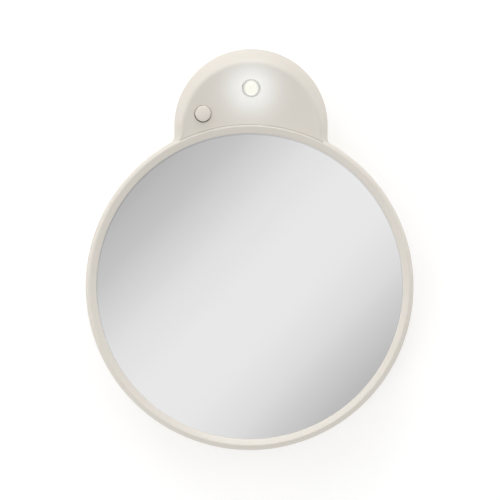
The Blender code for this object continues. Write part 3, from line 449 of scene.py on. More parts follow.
def makeFoam(look):
    material, tree, shader = newMaterial("blackFoam")
    place = objectPlace(tree)
    cells = addNode(tree, "TexVoronoi", Vector=place, Scale=1 / (look["cellSize"] * mm))
    depth = cells.outputs["Distance"]
    fill(shader, {
        # painted shade: colour follows the cell depth, darker in the hollows than on the rims
        "Base Color": blend(tree, depth, *look["colours"], (0.1, 0.6)),
        "Roughness": remap(tree, noise(tree, place, 3.0), *look["roughness"]),
        "Normal": bump(tree, depth, look["cellDepth"]),
    })
    return material


boardLook = {
    "greens": ((0.010, 0.12, 0.045), (0.012, 0.14, 0.052)),
    "weave": (0.03, 0.23, 0.09),
    "weaveSize": 9.0,
    "weaveShare": 0.05,
    "weaveDepth": 0.03,
    "roughness": (0.25, 0.4),
}


def makeBoard(look):
    material, tree, shader = newMaterial("boardGreen")
    place = objectPlace(tree)
    weave = fill(addNode(tree, "TexBrick"), {
        "Vector": place, "Scale": 1 / (look["weaveSize"] * mm), "Mortar Size": look["weaveShare"],
        "Color1": look["greens"][0], "Color2": look["greens"][1], "Mortar": look["weave"],
    })
    fill(shader, {
        "Base Color": weave.outputs["Color"],
        "Roughness": remap(tree, noise(tree, place, 1.2), *look["roughness"]),
        "Normal": bump(tree, weave.outputs["Fac"], look["weaveDepth"]),
    })
    return material


cupVinylLook = {
    "colour": (0.955, 0.97, 0.97),
    "roughness": (0.07, 0.16),
    "clearness": 0.92,
}


def makeVinyl(look):
    material, tree, shader = newMaterial("cupVinyl")
    place = objectPlace(tree)
    haze = noise(tree, place, 5.0, 3.0)
    fill(shader, {
        "Base Color": blend(tree, haze, look["colour"], shade(look["colour"], 0.95)),
        "Roughness": remap(tree, noise(tree, place, 2.0, 3.0, lift=2.0), *look["roughness"]),
        "Normal": bump(tree, noise(tree, place, 4.0, 1.0, lift=5.0), 0.02),
        "Transmission Weight": look["clearness"],
        "IOR": 1.5,
    })
    return material


lensLook = {
    "core": (1.0, 1.0, 0.90),
    "rim": (0.985, 0.985, 0.885),
    "base": (0.05, 0.05, 0.04),
    "glow": 0.87,
    "roughness": (0.06, 0.12),
    # painted shade: the lens's outer ring and collar emit this grey in place of the lit core, standing for the
    # shaded gap round the lamp
    "collar": (0.62, 0.62, 0.595),
    "shadedCollarFrom": (2.2, 2.68),  # how far from the lamp's axis the lit core gives way to the grey collar, a painted shade
    "ovalShare": (1.08, 0.95, 0),  # makes the lit core taller than wide
}


def makeLens(look):
    material, tree, shader = newMaterial("litEpoxy")
    place = objectPlace(tree)
    swirl = noise(tree, place, 1.2, 2.0)
    lit = blend(tree, swirl, look["core"], look["rim"], (0.35, 0.75))
    along = addNode(
        tree, "Mapping", vector_type="TEXTURE",
        Vector=place, Location=lyingToFrame @ ledBase, Rotation=(pi / 2 + lamp["tilt"], 0, 0),
    )
    reach = vectorStep(tree, "LENGTH", vectorStep(tree, "MULTIPLY", along.outputs["Vector"], look["ovalShare"]))
    # painted shade: past this reach the lens emits the grey collar colour, for the shaded gap round the lamp
    outside = remap(tree, reach, 0.0, 1.0, look["shadedCollarFrom"][0] * mm, look["shadedCollarFrom"][1] * mm)
    fill(shader, {
        "Base Color": blend(tree, swirl, look["base"], shade(look["base"], 0.9)),
        "Roughness": remap(tree, swirl, *look["roughness"]),
        "Normal": bump(tree, noise(tree, place, 0.8, 1.0, lift=1.0), 0.006),
        "Emission Color": mixColours(tree, outside, lit, look["collar"]),
        "Emission Strength": look["glow"],
    })
    return material


blackFoam = makeFoam(foamLook)
boardGreen = makeBoard(boardLook)
cupVinyl = makeVinyl(cupVinylLook)
print("finishes made")


# Case outline: a ring with a dome on its top edge

outline = {
    "ringRadius": 57.15,
    "domeRadius": 26.8,
    "domeCentre": 56.1,
    "fillet": 2.8,
    "bite": 0.08,  # how far the fillet sinks into the ring
    "ringSteps": 220,
    "domeSteps": 44,
    "straightSteps": 4,
    "filletSteps": 12,
}
depths = {
    "back": 8.0,
    "coverTop": 11.6,
    "parting": 11.9,
    "ringFront": 24.0,
    "sideFront": 25.2,
    "domeFront": 28.6,
    "glassFront": 21.2,
    "lipUnder": 21.5,
}
filletX = outline["domeRadius"] + outline["fillet"]
filletReach = outline["ringRadius"] + outline["fillet"] - outline["bite"]
filletY = sqrt(filletReach**2 - filletX**2)
junctionAngle = atan2(filletY, filletX)


def arcPoints(centre, radius, start, end, steps):
    return [
        (centre[0] + radius * cos(a), centre[1] + radius * sin(a))
        for a in np.linspace(start, end, steps + 1)
    ]


def caseOutline(grow):
    start, end = pi - junctionAngle, 2 * pi + junctionAngle
    below = arcPoints((0, 0), outline["ringRadius"] + grow, start, end, outline["ringSteps"])
    fillet = outline["fillet"] - grow
    right = arcPoints((filletX, filletY), fillet, pi + junctionAngle, pi, outline["filletSteps"])
    top = arcPoints((0, outline["domeCentre"]), outline["domeRadius"] + grow, 0, pi, 2 * outline["domeSteps"])
    left = arcPoints((-filletX, filletY), fillet, 0, -junctionAngle, outline["filletSteps"])
    return below[:-1] + right + top + left[:-1]


# Front moulding: the ring and the lamp dome in one piece

ring = {
    "crestRadius": 55.5,
    "roundoverDepth": 1.75,
    "roundoverPower": 1.2,
    "lipRadius": 53.4,
    "lipTop": 22.7,
    "lipRound": 0.35,
    "lipUnderRound": 0.2,
    "crestRound": 0.35,
    "wallInside": 55.15,
    "notch": (12.7, 14.0),  # takes the back shell's snap
    "notchDepth": 0.3,
    "partingChamfer": 0.15,
    "turnSteps": 360,
    "grooveRadius": 56.24,
    "grooveWidth": 0.3,
    "grooveTop": 24.5,
    "grooveFloor": 23.3,
    "grooveSteps": 120,
    "grooveRunOut": 0.12,  # the angle over which the groove's ends rise to the surface
}
dome = {
    "wall": 1.5,
    "seamRadius": 55.3,
    "seamFront": 23.62,
    "topBevel": (5.2, 5.1),
    "sideBevel": (3.0, 2.6),
    "bevelBulge": 0.2,
    "bevelCrowding": 1.6,  # sets the bevel's rows closer near the outer wall
    "endBevel": (1.6, 1.6),
    "endDrop": 0.4,
    "scoopPower": 1.4,
    "seamSpread": 1.45,
    "crestReach": 0.95,
    "bevelSteps": 14,
    "crestSteps": 6,
    "scoopSteps": 30,
    "insideSteps": 10,
}
lamp = {
    "height": 68.803,
    "radius": 2.5,
    "length": 8.6,
    "proud": 2.0,
    "tilt": radians(15.0),  # the lamp points a little downwards
    "boreRadius": 3.2,
    "collar": (3.1, 0.9),
    "flange": (2.9, 1.0),
    "socketRadius": 4.2,
    "socketLength": 4.2,
}
button = {
    "place": (-16.8, 59.7),
    "slack": (0.03, 0.15),  # the cap rests against the upper side of its hole
    "radius": 2.76,
    "proud": 1.35,
    "crown": 0.72,
    "crownEnd": 0.47 * pi,
    "edgeRound": 0.08,
    "holeRadius": 2.94,
    "holeEase": 0.04,
    "wall": 1.8,
    "flange": (3.9, 0.7),
    "low": 21.68,
    "seatLow": 20.55,
    "seatRadius": 4.2,
}
boss = {
    "radius": 2.1,
    "gap": 0.3,
    "pilotRadius": 1.3,
    "pilotLevels": (11.6, 17.25),
}
caseScrewPlaces = [(0.0, 78.6), (-22.0215, 53.3961), (22.0215, 53.3961)]


def domeEdge():
    # (point, direction into the plastic, share round the dome, share down the side), left to right
    radius, centre, fillet = outline["domeRadius"], outline["domeCentre"], outline["fillet"]
    right = []
    for step in range(outline["domeSteps"] + 1):
        angle = pi / 2 * (1 - step / outline["domeSteps"])
        across, up = cos(angle), sin(angle)
        right.append(((radius * across, centre + radius * up), (-across, -up), up, 0.0))
    drop, filletLength = centre - filletY, fillet * junctionAngle
    for step in range(1, outline["straightSteps"] + 1):
        share = step / outline["straightSteps"]
        right.append(((radius, centre - drop * share), (-1.0, 0.0), 0.0, share * drop / (drop + filletLength)))
    for step in range(1, outline["filletSteps"] + 1):
        share = step / outline["filletSteps"]
        angle = pi + junctionAngle * share
        across, up = cos(angle), sin(angle)
        spot = (filletX + fillet * across, filletY + fillet * up)
        right.append((spot, (across, up), 0.0, (drop + filletLength * share) / (drop + filletLength)))
    left = [((-p[0], p[1]), (-n[0], n[1]), top, down) for p, n, top, down in right]
    return left[:0:-1] + right


def domeSections():
    # (outer points, inner points) for each place along the edge
    edge = domeEdge()
    points = np.array([entry[0] for entry in edge])
    travelled = np.concatenate(([0], np.cumsum(np.hypot(*np.diff(points, axis=0).T))))
    travelled = travelled - travelled[len(edge) // 2]
    travelled = travelled / travelled[-1]
    side, front, chamfer = depths["sideFront"], depths["domeFront"], ring["partingChamfer"]
    sideWide, sideDeep = dome["sideBevel"]
    topWide, topDeep = dome["topBevel"]
    endWide, endDeep = dome["endBevel"]
    made = []
    for (place, normal, top, down), along in zip(edge, travelled):
        point, inward = Vector(place), Vector(normal)
        crest = side + (front - side) * top - (side - depths["ringFront"] + dome["endDrop"]) * down
        width = sideWide + (topWide - sideWide) * top - (sideWide - endWide) * down**3
        depth = sideDeep + (topDeep - sideDeep) * top + (endDeep - sideDeep) * down
        spread = copysign(abs(along) ** dome["seamSpread"], along)
        seamAngle = pi / 2 + (junctionAngle - pi / 2) * spread
        seam = Vector((dome["seamRadius"] * cos(seamAngle), dome["seamRadius"] * sin(seamAngle)))
        crestSpot = point + inward * width
        run = (seam - crestSpot).length

        def scoop(share):
            level = dome["seamFront"] + (crest - dome["seamFront"]) * (1 - share) ** dome["scoopPower"]
            return Vector((*crestSpot.lerp(seam, share), level))

        def bevel(share):
            # mostly a flat chamfer, a little rounded near the outer wall
            rise = share + dome["bevelBulge"] * (sqrt(1 - (1 - share) ** 2) - share)
            return Vector((*(point + inward * width * share), crest - depth + depth * rise))

        outer = [(*(point + inward * chamfer), depths["parting"]), (*point, depths["parting"] + chamfer)]
        reach = min(dome["crestReach"], 0.5 * width, 0.5 * run)
        bevelEnd = 1 - reach / width
        scoopStart = reach / run
        for step in range(dome["bevelSteps"] + 1):
            outer.append(tuple(bevel(bevelEnd * (step / dome["bevelSteps"]) ** dome["bevelCrowding"])))
        start, corner, end = bevel(bevelEnd), scoop(0), scoop(scoopStart)
        for step in range(1, dome["crestSteps"]):
            outer.append(tuple(bend(start, corner, end, step / dome["crestSteps"])))
        for step in range(dome["scoopSteps"] + 1):
            outer.append(tuple(scoop(scoopStart + (1 - scoopStart) * step / dome["scoopSteps"])))
        inner = []
        for step in range(dome["insideSteps"] + 1):
            spot = scoop(step / dome["insideSteps"])
            inner.append((spot.x, spot.y, spot.z - dome["wall"]))
        wallSpot = point + inward * dome["wall"]
        back = [(*wallSpot, depths["parting"]), (*wallSpot, crest - depth - dome["wall"] / 2)]
        made.append((outer, inner[::-1] + back[::-1]))
    return made


sections = domeSections()


def domeShell():
    bm = bmesh.new()
    stitch(bm, [[bm.verts.new(p) for p in outer + inner] for outer, inner in sections])
    bmesh.ops.triangulate(bm, faces=[f for f in bm.faces if len(f.verts) > 4])
    return makeObject("domeShell", bm)


def domeSkin():
    # the dome's outer face, for measuring its height
    count = len(sections[0][0])
    points = [Vector(p) for section in sections for p in section[0]]
    faces = []
    for i in range(len(sections) - 1):
        for start in range(i * count, (i + 1) * count - 1):
            faces.append((start, start + 1, start + count + 1, start + count))
    return BVHTree.FromPolygons(points, faces)


skin = domeSkin()


def skinDepth(x, y):
    return skin.ray_cast(Vector((x, y, depths["domeFront"] + 1)), Vector((0, 0, -1)))[0].z


def ringProfile():
    width, depth = outline["ringRadius"] - ring["crestRadius"], ring["roundoverDepth"]
    wallTop = depths["ringFront"] - depth
    power, roundBy, deep = ring["roundoverPower"], ring["lipUnderRound"], ring["notchDepth"]
    notchLow, notchHigh = ring["notch"]
    over = [
        (ring["crestRadius"] + width * sin(a) ** power, wallTop + depth * cos(a) ** power)
        for a in np.linspace(0.15, pi / 2, 16)
    ]
    chamfer = ring["partingChamfer"]
    inside = ring["wallInside"]
    corners = [
        (outline["ringRadius"], depths["parting"], chamfer),
        (inside, depths["parting"], chamfer),
        (inside, notchLow),
        (inside + deep, notchLow + deep),
        (inside + deep, notchHigh - deep),
        (inside, notchHigh),
        (inside, depths["lipUnder"], roundBy),
        (ring["lipRadius"], depths["lipUnder"], roundBy),
        (ring["lipRadius"], ring["lipTop"], ring["lipRound"]),
    ]
    crest = (ring["crestRadius"], depths["ringFront"], ring["crestRound"])
    return roundCorners(over + corners + [crest], closed=True)


ledAxis = Vector((0, -sin(lamp["tilt"]), cos(lamp["tilt"])))
ledSurface = Vector((0, lamp["height"], skinDepth(0, lamp["height"])))
ledBase = ledSurface - ledAxis * (lamp["length"] - lamp["proud"])
ledWhere = {"centre": (ledBase.x, ledBase.y), "lift": ledBase.z, "tilt": lamp["tilt"]}
buttonSurface = skinDepth(*button["place"])


def seamGroove():
    # a fine V along the seam between ring and dome, running out at both ends
    bm = bmesh.new()
    rows = []
    wide, radius = ring["grooveWidth"] / 2, ring["grooveRadius"]
    top, high = ring["grooveTop"], ring["grooveTop"] - 0.2
    first, last = junctionAngle - 0.02, pi - junctionAngle + 0.02
    for a in np.linspace(first, last, ring["grooveSteps"] + 1):
        share = min(1.0, (a - first) / ring["grooveRunOut"], (last - a) / ring["grooveRunOut"])
        low = high - (high - ring["grooveFloor"]) * max(0.02, share)
        section = [(-wide, top), (wide, top), (wide, top - 0.1), (0, low), (-wide, top - 0.1)]
        rows.append([bm.verts.new(((radius + x) * cos(a), (radius + x) * sin(a), level)) for x, level in section])
    stitch(bm, rows)
    return makeObject("seamGroove", bm)


def buildFrontMoulding():
    front = turnProfile("frontMoulding", ringProfile(), ring["turnSteps"], closed=True)
    join(front, domeShell())
    for x, y in caseScrewPlaces:
        around = [skinDepth(*spot) for spot in arcPoints((x, y), boss["radius"], 0, 2 * pi, 11)]
        low, high = depths["parting"] + boss["gap"], min(around) - dome["wall"] / 2
        join(front, pillar("boss", boss["radius"], low, high, (x, y)))
    mouth, bore = lamp["length"] - lamp["proud"], lamp["boreRadius"]
    socketLow = mouth - lamp["socketLength"]
    join(front, pillar("socket", lamp["socketRadius"], socketLow, mouth - dome["wall"] / 2, **ledWhere))
    hole = turnProfile("ledHole", [
        (0, socketLow - overrun), (bore, socketLow - overrun), (bore, mouth - 0.15), (bore + 0.06, mouth),
        (bore + 0.22, mouth + 0.15), (bore + 0.3, mouth + 0.6), (0, mouth + 0.6),
    ], 64, **ledWhere)
    seatTop = buttonSurface - button["wall"]
    buttonHole = holeCutter(
        "buttonHole", button["holeRadius"], seatTop - overrun / 2, buttonSurface + overrun, button["place"],
        buttonSurface, button["holeEase"], 64,
    )
    seat = pillar("buttonSeat", button["seatRadius"], button["seatLow"], seatTop, button["place"], 64)
    wide = pocket["roomRadius"]
    room = prism("pocketRoom", stadiumOutline, [(wide, depths["coverTop"]), (wide, pocket["roomTop"])])
    cut(front, hole, buttonHole, seat, room, seamGroove())
    for spot in caseScrewPlaces:
        cut(front, pillar("pilot", boss["pilotRadius"], *boss["pilotLevels"], spot, 32))
    standUp(front, casePlastic)
    dress(front, "case", "case", "front_frame")


# Battery pocket outlines, also used by the back shell and the lid

pocket = {
    "cellAcross": 10.8,
    "cellHeight": 63.5,
    "radius": 10.3,
    "doorRadius": 12.0,
    "tabRadius": 3.4,
    "tabHeight": 48.2,
    "roomRadius": 11.6,
    "roomTop": 15.4,
    "steps": 32,
}


def stadiumOutline(radius):
    right = arcPoints((pocket["cellAcross"], pocket["cellHeight"]), radius, -pi / 2, pi / 2, pocket["steps"])
    left = arcPoints((-pocket["cellAcross"], pocket["cellHeight"]), radius, pi / 2, 3 * pi / 2, pocket["steps"])
    return right + left


def doorOutline(grow):
    foot = arcPoints((0, pocket["tabHeight"]), pocket["tabRadius"] + grow, pi, 2 * pi, 24)
    return stadiumOutline(pocket["doorRadius"] + grow) + foot


buildFrontMoulding()
print("front moulding made")


# Mirror glass: a slumped disc, silvered

glassDisc = {
    "radius": 54.6,
    "thickness": 2.0,
    "sag": 3.4,
    "rings": 26,
    "edgeRound": 0.35,
}


def buildMirrorGlass():
    radius, edge = glassDisc["radius"], glassDisc["edgeRound"]
    front = depths["glassFront"]
    rear = front - glassDisc["thickness"]
    radii = np.linspace(0, radius - edge, glassDisc["rings"] + 1)
    sunk = [(r, glassDisc["sag"] * (1 - (r / radius) ** 2)) for r in radii]
    face = [(r, front - sag) for r, sag in sunk]
    back = [(r, rear - sag) for r, sag in sunk[::-1]]
    rim = roundCorners([face[-1], (radius, front, edge), (radius, rear, edge), back[0]])
    pane = turnProfile("mirrorPane", face + rim[1:-1] + back, 240)
    standUp(pane, mirrorSilver)
    dress(pane, "case", "glass", "mirror_glass")


buildMirrorGlass()


# Lamp and push button

def buildLampLens():
    radius, length = lamp["radius"], lamp["length"]
    flangeRadius, flangeHeight = lamp["flange"]
    collarRadius, collarDepth = lamp["collar"]
    rise = length - lamp["proud"] + 0.08
    crown = [(radius * sin(a), length - radius + radius * cos(a)) for a in np.linspace(0, pi / 2, 20)]
    corners = [
        crown[-1],
        (radius, rise - 0.1, 0.15),
        (collarRadius - 0.25, rise, 0.15),
        (collarRadius, rise - 0.15, 0.12),
        (collarRadius, rise - collarDepth, 0.12),
        (radius, rise - collarDepth, 0.12),
        (radius, flangeHeight, 0.12),
        (flangeRadius, flangeHeight, 0.15),
        (flangeRadius, 0, 0.15),
        (0, 0),
    ]
    profile = [(0, length)] + crown[1:-1] + roundCorners(corners)
    lens = turnProfile("lampLens", profile, 64, **ledWhere)
    standUp(lens, litEpoxy)
    dress(lens, "case", "lens", "led_lens")


def buildButton():
    radius, low = button["radius"], button["low"]
    flangeRadius, flangeHeight = button["flange"]
    edge = buttonSurface + button["proud"] - button["crown"]
    crown = [(radius * sin(a), edge + button["crown"] * cos(a)) for a in np.linspace(0, button["crownEnd"], 16)]
    corners = [
        crown[-1],
        (radius, edge + 0.02, button["edgeRound"]),
        (radius, low + flangeHeight, 0.1),
        (flangeRadius, low + flangeHeight, 0.12),
        (flangeRadius, low, 0.12),
        (0, low),
    ]
    centre = tuple(a + b for a, b in zip(button["place"], button["slack"]))
    cap = turnProfile("pushButton", crown[:-1] + roundCorners(corners, 6), 64, centre=centre)
    standUp(cap, buttonPlastic, 40)
    dress(cap, "button", "case", "button_cap")


litEpoxy = makeLens(lensLook)
buildLampLens()
buildButton()
print("glass, lamp and button made")


# Back shell

shell = {
    "floor": 9.8,
    "wall": 2.0,
    "edgeRound": 1.0,
    "pocketFloor": 14.1,
    "pocketTop": 15.1,
    "pocketWall": 11.3,
    "ribRadii": (51.0, 53.0),
    "ribTop": 16.7,
    "tongueRadii": (53.65, 54.85),
    "tongueTop": 14.1,
    "snapRise": 1.45,
    "doorInner": 9.4,
    "doorSeat": 1.3,
    "doorGap": 0.3,
    "screwSeat": 3.2,
    "screwSeatTop": 11.4,
    "headHole": 2.2,
    "headSeat": 9.85,
    "screwHole": 1.3,
    "pilotTop": 12.9,
    "postRadius": 2.4,
    "postRise": 4.8,
    "stakeRadius": 0.9,
    "stakeTop": 17.4,
    "cupHole": 3.1,
    "cupCircle": 30.0,
    "mouthEase": 0.2,
    "slotSize": (0.85, 3.6, 1.6),
    "slotLevel": 14.6,
}
stakePlaces = [(18.5036, 66.003), (-14.9718, 70.4431)]
cupPlaces = arcPoints((0, 0), shell["cupCircle"], radians(30), radians(270), 2)
tabSlots = [((-5.4, 63.5), 0.0), ((3.4991, 70.8009), radians(135.0))]


def buildBackShell():
    roundBy, chamfer = shell["edgeRound"], ring["partingChamfer"]
    back, top, floor = depths["back"], depths["coverTop"], shell["floor"]
    outside, low = back - overrun, floor - embed
    layers = [
        (-roundBy * (1 - sin(a)), back + roundBy * (1 - cos(a)))
        for a in np.linspace(0, pi / 2, 8)
    ]
    cover = prism("backShell", caseOutline, layers + [(0, top - chamfer), (-chamfer, top)])
    room = [(-shell["wall"], floor), (-shell["wall"], top + overrun)]
    cut(cover, prism("inside", caseOutline, room))
    inner = shell["doorInner"] + shell["doorGap"]
    seatFront = inner + shell["doorSeat"]
    tab = (0, pocket["tabHeight"])
    wallOut, wallTop = shell["pocketWall"], shell["pocketTop"]
    ribIn, ribOut = shell["ribRadii"]
    tongueIn, tongueOut = shell["tongueRadii"]
    snap = depths["parting"] + shell["snapRise"]
    ribTop, tongueTop = shell["ribTop"], shell["tongueTop"]
    rib = roundCorners([(ribOut, ribTop, 0.3), (ribOut, low), (ribIn, low), (ribIn, ribTop, 0.3)], closed=True)
    tongue = roundCorners([
        (tongueOut, tongueTop, 0.25), (tongueOut, snap + 0.2), (tongueOut + 0.4, snap, 0.1),  # the snap's edge
        (tongueOut, snap - 0.2), (tongueOut, low), (tongueIn, low), (tongueIn, tongueTop, 0.25),
    ], closed=True)
    join(
        cover,
        prism("doorBacking", doorOutline, [(shell["doorSeat"], low), (shell["doorSeat"], seatFront)]),
        prism("pocketWall", stadiumOutline, [(wallOut, seatFront - embed), (wallOut, wallTop)]),
        turnProfile("rib", rib, 240, closed=True),
        turnProfile("tongue", tongue, 240, closed=True),
        pillar("doorPost", shell["postRadius"], seatFront - embed, floor + shell["postRise"], tab),
    )
    for spot in caseScrewPlaces:
        join(cover, pillar("screwSeat", shell["screwSeat"], low, shell["screwSeatTop"], spot))
    for spot in stakePlaces:
        join(cover, pillar("stake", shell["stakeRadius"], wallTop - embed, shell["stakeTop"], spot, 32))
    ease, gap, wide = shell["mouthEase"], shell["doorGap"], pocket["radius"]
    wideGap = gap + ease
    cut(
        cover,
        prism("cellPocket", stadiumOutline, [(wide, outside), (wide, shell["pocketFloor"])]),
        prism("doorRecess", doorOutline, [(wideGap, outside), (wideGap, back), (gap, back + ease), (gap, inner)]),
    )
    for spot in caseScrewPlaces:
        cut(
            cover,
            holeCutter("headHole", shell["headHole"], outside, shell["headSeat"], spot, back, ease),
            pillar("screwHole", shell["screwHole"], shell["headSeat"] - embed, top + overrun, spot, 32),
        )
    for spot in cupPlaces:
        hole = holeCutter("cupHole", shell["cupHole"], outside, floor + overrun, spot, back, ease)
        cut(cover, hole)
    cut(cover, pillar("doorScrewHole", shell["screwHole"], back, shell["pilotTop"], tab, 32))
    for spot, spin in tabSlots:
        cut(cover, roundBox("tabSlot", shell["slotSize"], (*spot, shell["slotLevel"]), spin=spin))
    standUp(cover, backPlastic)
    dress(cover, "case", "case", "back_cover")


# Battery lid, screws and cells

lid = {
    "edgeRound": 0.25,
    "innerChamfer": 0.15,
    "gripWidth": 9.0,
    "gripHeight": 1.2,
    "gripDepth": 0.5,
    "gripPitch": 2.4,
    "grips": 4,
    "gripRound": 0.42,
    # radius and level of the seat for its screw
    "screwSeat": [(1.3, 9.25), (2.2, 8.25), (2.2, 8.12), (2.35, 8.0)],
}
screw = {
    "radius": 1.0,
    "core": 0.78,
    "pitch": 0.7,
    "taper": 0.8,
    "toothSlope": 3.2,
    "headRadius": 1.9,
    "headBack": 8.25,
    "headFront": 9.55,
    "tip": 16.95,
    "lidTip": 12.6,
    "crossLength": 2.1,
    "crossWidth": 0.52,
    "crossDepth": 0.75,
    "spins": (0.3, 1.1, 0.75),
    "lidSpin": radians(28),
}


def buildLid():
    back, inner = depths["back"], shell["doorInner"]
    r, chamfer = lid["edgeRound"], lid["innerChamfer"]
    layers = [(-r, back), (-0.35 * r, back + 0.3 * r), (0, back + r), (0, inner - chamfer), (-chamfer, inner)]
    door = prism("batteryLid", doorOutline, layers)
    seat, far, outside = lid["screwSeat"], inner + overrun, back - overrun
    cone = [(0, far), (seat[0][0], far), *seat, (seat[-1][0], outside), (0, outside)]
    cut(door, turnProfile("cone", cone, 48, centre=(0, pocket["tabHeight"])))
    for k in range(lid["grips"]):
        height = pocket["cellHeight"] + lid["gripPitch"] * (k - (lid["grips"] - 1) / 2)
        size = (lid["gripWidth"], lid["gripHeight"], 2 * lid["gripDepth"])
        cut(door, roundBox("grip", size, (0, height, back), lid["gripRound"], 4))
    standUp(door, backPlastic)
    dress(door, "door", "case", "battery_door")


def threadedShank(low, high, centre):
    # a closed shank whose radius follows a one-start thread
    bm = bmesh.new()
    taper = screw["taper"]
    steps, rounds = 32, int((high - low) / screw["pitch"] * 12)
    rows = []
    for k in range(rounds + 1):
        level = low + (high - low) * k / rounds
        row = []
        fade = min(1.0, (high - level) / taper, (level - low) / 0.3)
        for s in range(steps):
            angle = 2 * pi * s / steps
            phase = ((level - low) / screw["pitch"] - s / steps) % 1.0
            tooth = max(0.0, 1 - abs(phase - 0.5) * screw["toothSlope"])
            radius = screw["core"] + (screw["radius"] - screw["core"]) * tooth * max(0.0, fade)
            radius *= 0.45 + 0.55 * min(1.0, (high - level) / taper + 0.15)  # a blunt tip
            row.append(bm.verts.new((centre[0] + radius * cos(angle), centre[1] + radius * sin(angle), level)))
        rows.append(row)
    stitch(bm, rows)
    return makeObject("shank", bm)


def crossCutter(centre, spin):
    # a cross that narrows towards the bottom of the recess
    turn = Matrix.Rotation(spin, 2)

    def crossAt(share):
        long = screw["crossLength"] / 2 * (1.05 - 0.5 * share)
        wide = screw["crossWidth"] / 2 * (1.05 - 0.45 * share)
        quarter = [(long, -wide), (long, wide), (wide, wide)]
        spots = []
        for k in range(4):
            for spot in quarter:
                around = turn @ Matrix.Rotation(k * pi / 2, 2) @ Vector(spot)
                spots.append((centre[0] + around.x, centre[1] + around.y))
        return spots

    back = screw["headBack"]
    return prism("cross", crossAt, [(0.0, back - 1.0), (1.0, back + screw["crossDepth"])])


def makeScrew(name, head, shankLow, tip, centre, spin):
    piece = turnProfile(name, head, 48, centre=centre)
    join(piece, threadedShank(shankLow, tip, centre))
    cut(piece, crossCutter(centre, spin))
    standUp(piece, screwSteel)
    return piece


def buildCaseScrew(number, centre, spin):
    r, back, front = screw["headRadius"], screw["headBack"], screw["headFront"]
    head = [(0, front), (r, front, 0.1), (r, back + 0.55, 0.35), (r * 0.8, back + 0.12, 0.5), (0, back)]
    piece = makeScrew(f"caseScrew{number}", roundCorners(head, 5), front - 0.1, screw["tip"], centre, spin)
    dress(piece, "case", "steel", f"case_screw_{number}")


def buildLidScrew():
    # countersunk, flush with the lid
    r, back = screw["headRadius"], screw["headBack"]
    head = [
        (0, back + 0.72), (screw["radius"], back + 0.7), (r, back + 0.06, 0.05), (r - 0.05, back, 0.03), (0, back),
    ]
    centre = (0, pocket["tabHeight"])
    piece = makeScrew("lidScrew", roundCorners(head, 4), back + 0.6, screw["lidTip"], centre, screw["lidSpin"])
    dress(piece, "door_screw", "steel", "battery_door_screw")


cell = {
    "radius": 10.0,
    "back": 9.7,
    "front": 12.9,
    "capRadius": 8.9,
    "capHeight": 0.6,
    "markSize": (3.2, 0.7),
    "markDepth": 0.08,
}


def buildCell(number, side):
    radius, capRadius, back, front = cell["radius"], cell["capRadius"], cell["back"], cell["front"]
    level = front - cell["capHeight"]
    corners = [
        (0, front),
        (capRadius - 0.25, front, 0.25),
        (capRadius, level, 0.1),
        (radius - 0.35, level - 0.02, 0.3),
        (radius, level - 0.4, 0.3),
        (radius, back + 0.4, 0.3),
        (radius - 0.4, back, 0.3),
        (0, back),
    ]
    centre = (side * pocket["cellAcross"], pocket["cellHeight"])
    piece = turnProfile(f"coinCell{number}", roundCorners(corners, 5), 128, centre=centre)
    long, wide = cell["markSize"]
    for size in ((long, wide, 0.4), (wide, long, 0.4)):  # a plus sign
        cut(piece, roundBox("plus", size, (*centre, back + cell["markDepth"] - 0.2)))
    standUp(piece, cellSteel)
    dress(piece, "case", "steel", f"coin_cell_{number}")


buildBackShell()
buildLid()
for number, (spot, spin) in enumerate(zip(caseScrewPlaces, screw["spins"]), 1):
    buildCaseScrew(number, spot, spin)
buildLidScrew()
buildCell(1, -1)
buildCell(2, 1)
print("back shell, lid, screws and cells made")


# Suction cups

cup = {
    "radius": 14.0,
    "lip": 1.3,
    "hollow": 3.2,
    "wall": 1.2,
    "shoulder": 4.8,
    "shoulderLevel": 7.7,
    "neck": 2.8,
    "head": 4.2,
    "headLow": 10.1,
    "headHigh": 11.8,
    # share of the way out from the shoulder, and of the cup's height
    "bell": [(0.16, 1.08), (0.30, 0.93), (0.6, 0.62), (0.85, 0.33), (0.96, 0.2)],
}


def curveThrough(points, steps=5):
    # a smooth curve through the points
    rows = [Vector(p) for p in points]
    rows = [rows[0] * 2 - rows[1]] + rows + [rows[-1] * 2 - rows[-2]]
    made = []
    for a, b, c, d in zip(rows, rows[1:], rows[2:], rows[3:]):
        for step in range(steps):
            t = step / steps
            spot = 0.5 * (2 * b + (c - a) * t + (2 * a - 5 * b + 4 * c - d) * t**2 + (3 * b - a - 3 * c + d) * t**3)
            made.append(tuple(spot))
    return made + [tuple(rows[-2])]


def buildCup(number, centre):
    radius, neck, shoulder, headRadius = cup["radius"], cup["neck"], cup["shoulder"], cup["head"]
    low, high, level = cup["headLow"], cup["headHigh"], cup["shoulderLevel"]
    height = cup["hollow"] + cup["wall"]
    bell = [(shoulder + (radius - shoulder) * a, height * b) for a, b in cup["bell"]]
    head = roundCorners([
        (0, high),
        (neck, high, 0.5),
        (headRadius, low + 0.6, 0.4),
        (headRadius, low, 0.2),
        (neck, low, 0.2),
        (neck, level, 0.25),
        (shoulder, level, 0.6),
        bell[0],
    ])
    inner = radius - cup["lip"]
    rim = roundCorners([bell[-1], (radius, 0.55, 0.25), (radius, 0, 0.12), (inner, 0, 0.3), (inner - 0.6, 0.32)])
    hollow = [(inner * s, cup["hollow"] * (1 - s**2)) for s in np.linspace(0.94, 0, 16)]
    profile = head[:-1] + curveThrough(bell) + rim[1:-1] + hollow
    piece = turnProfile(f"suctionCup{number}", profile, 96, centre=centre)
    standUp(piece, cupVinyl, 50)
    dress(piece, "case", "cup", f"suction_cup_{number}")


for number, spot in enumerate(cupPlaces, 1):
    buildCup(number, spot)
print("suction cups made")


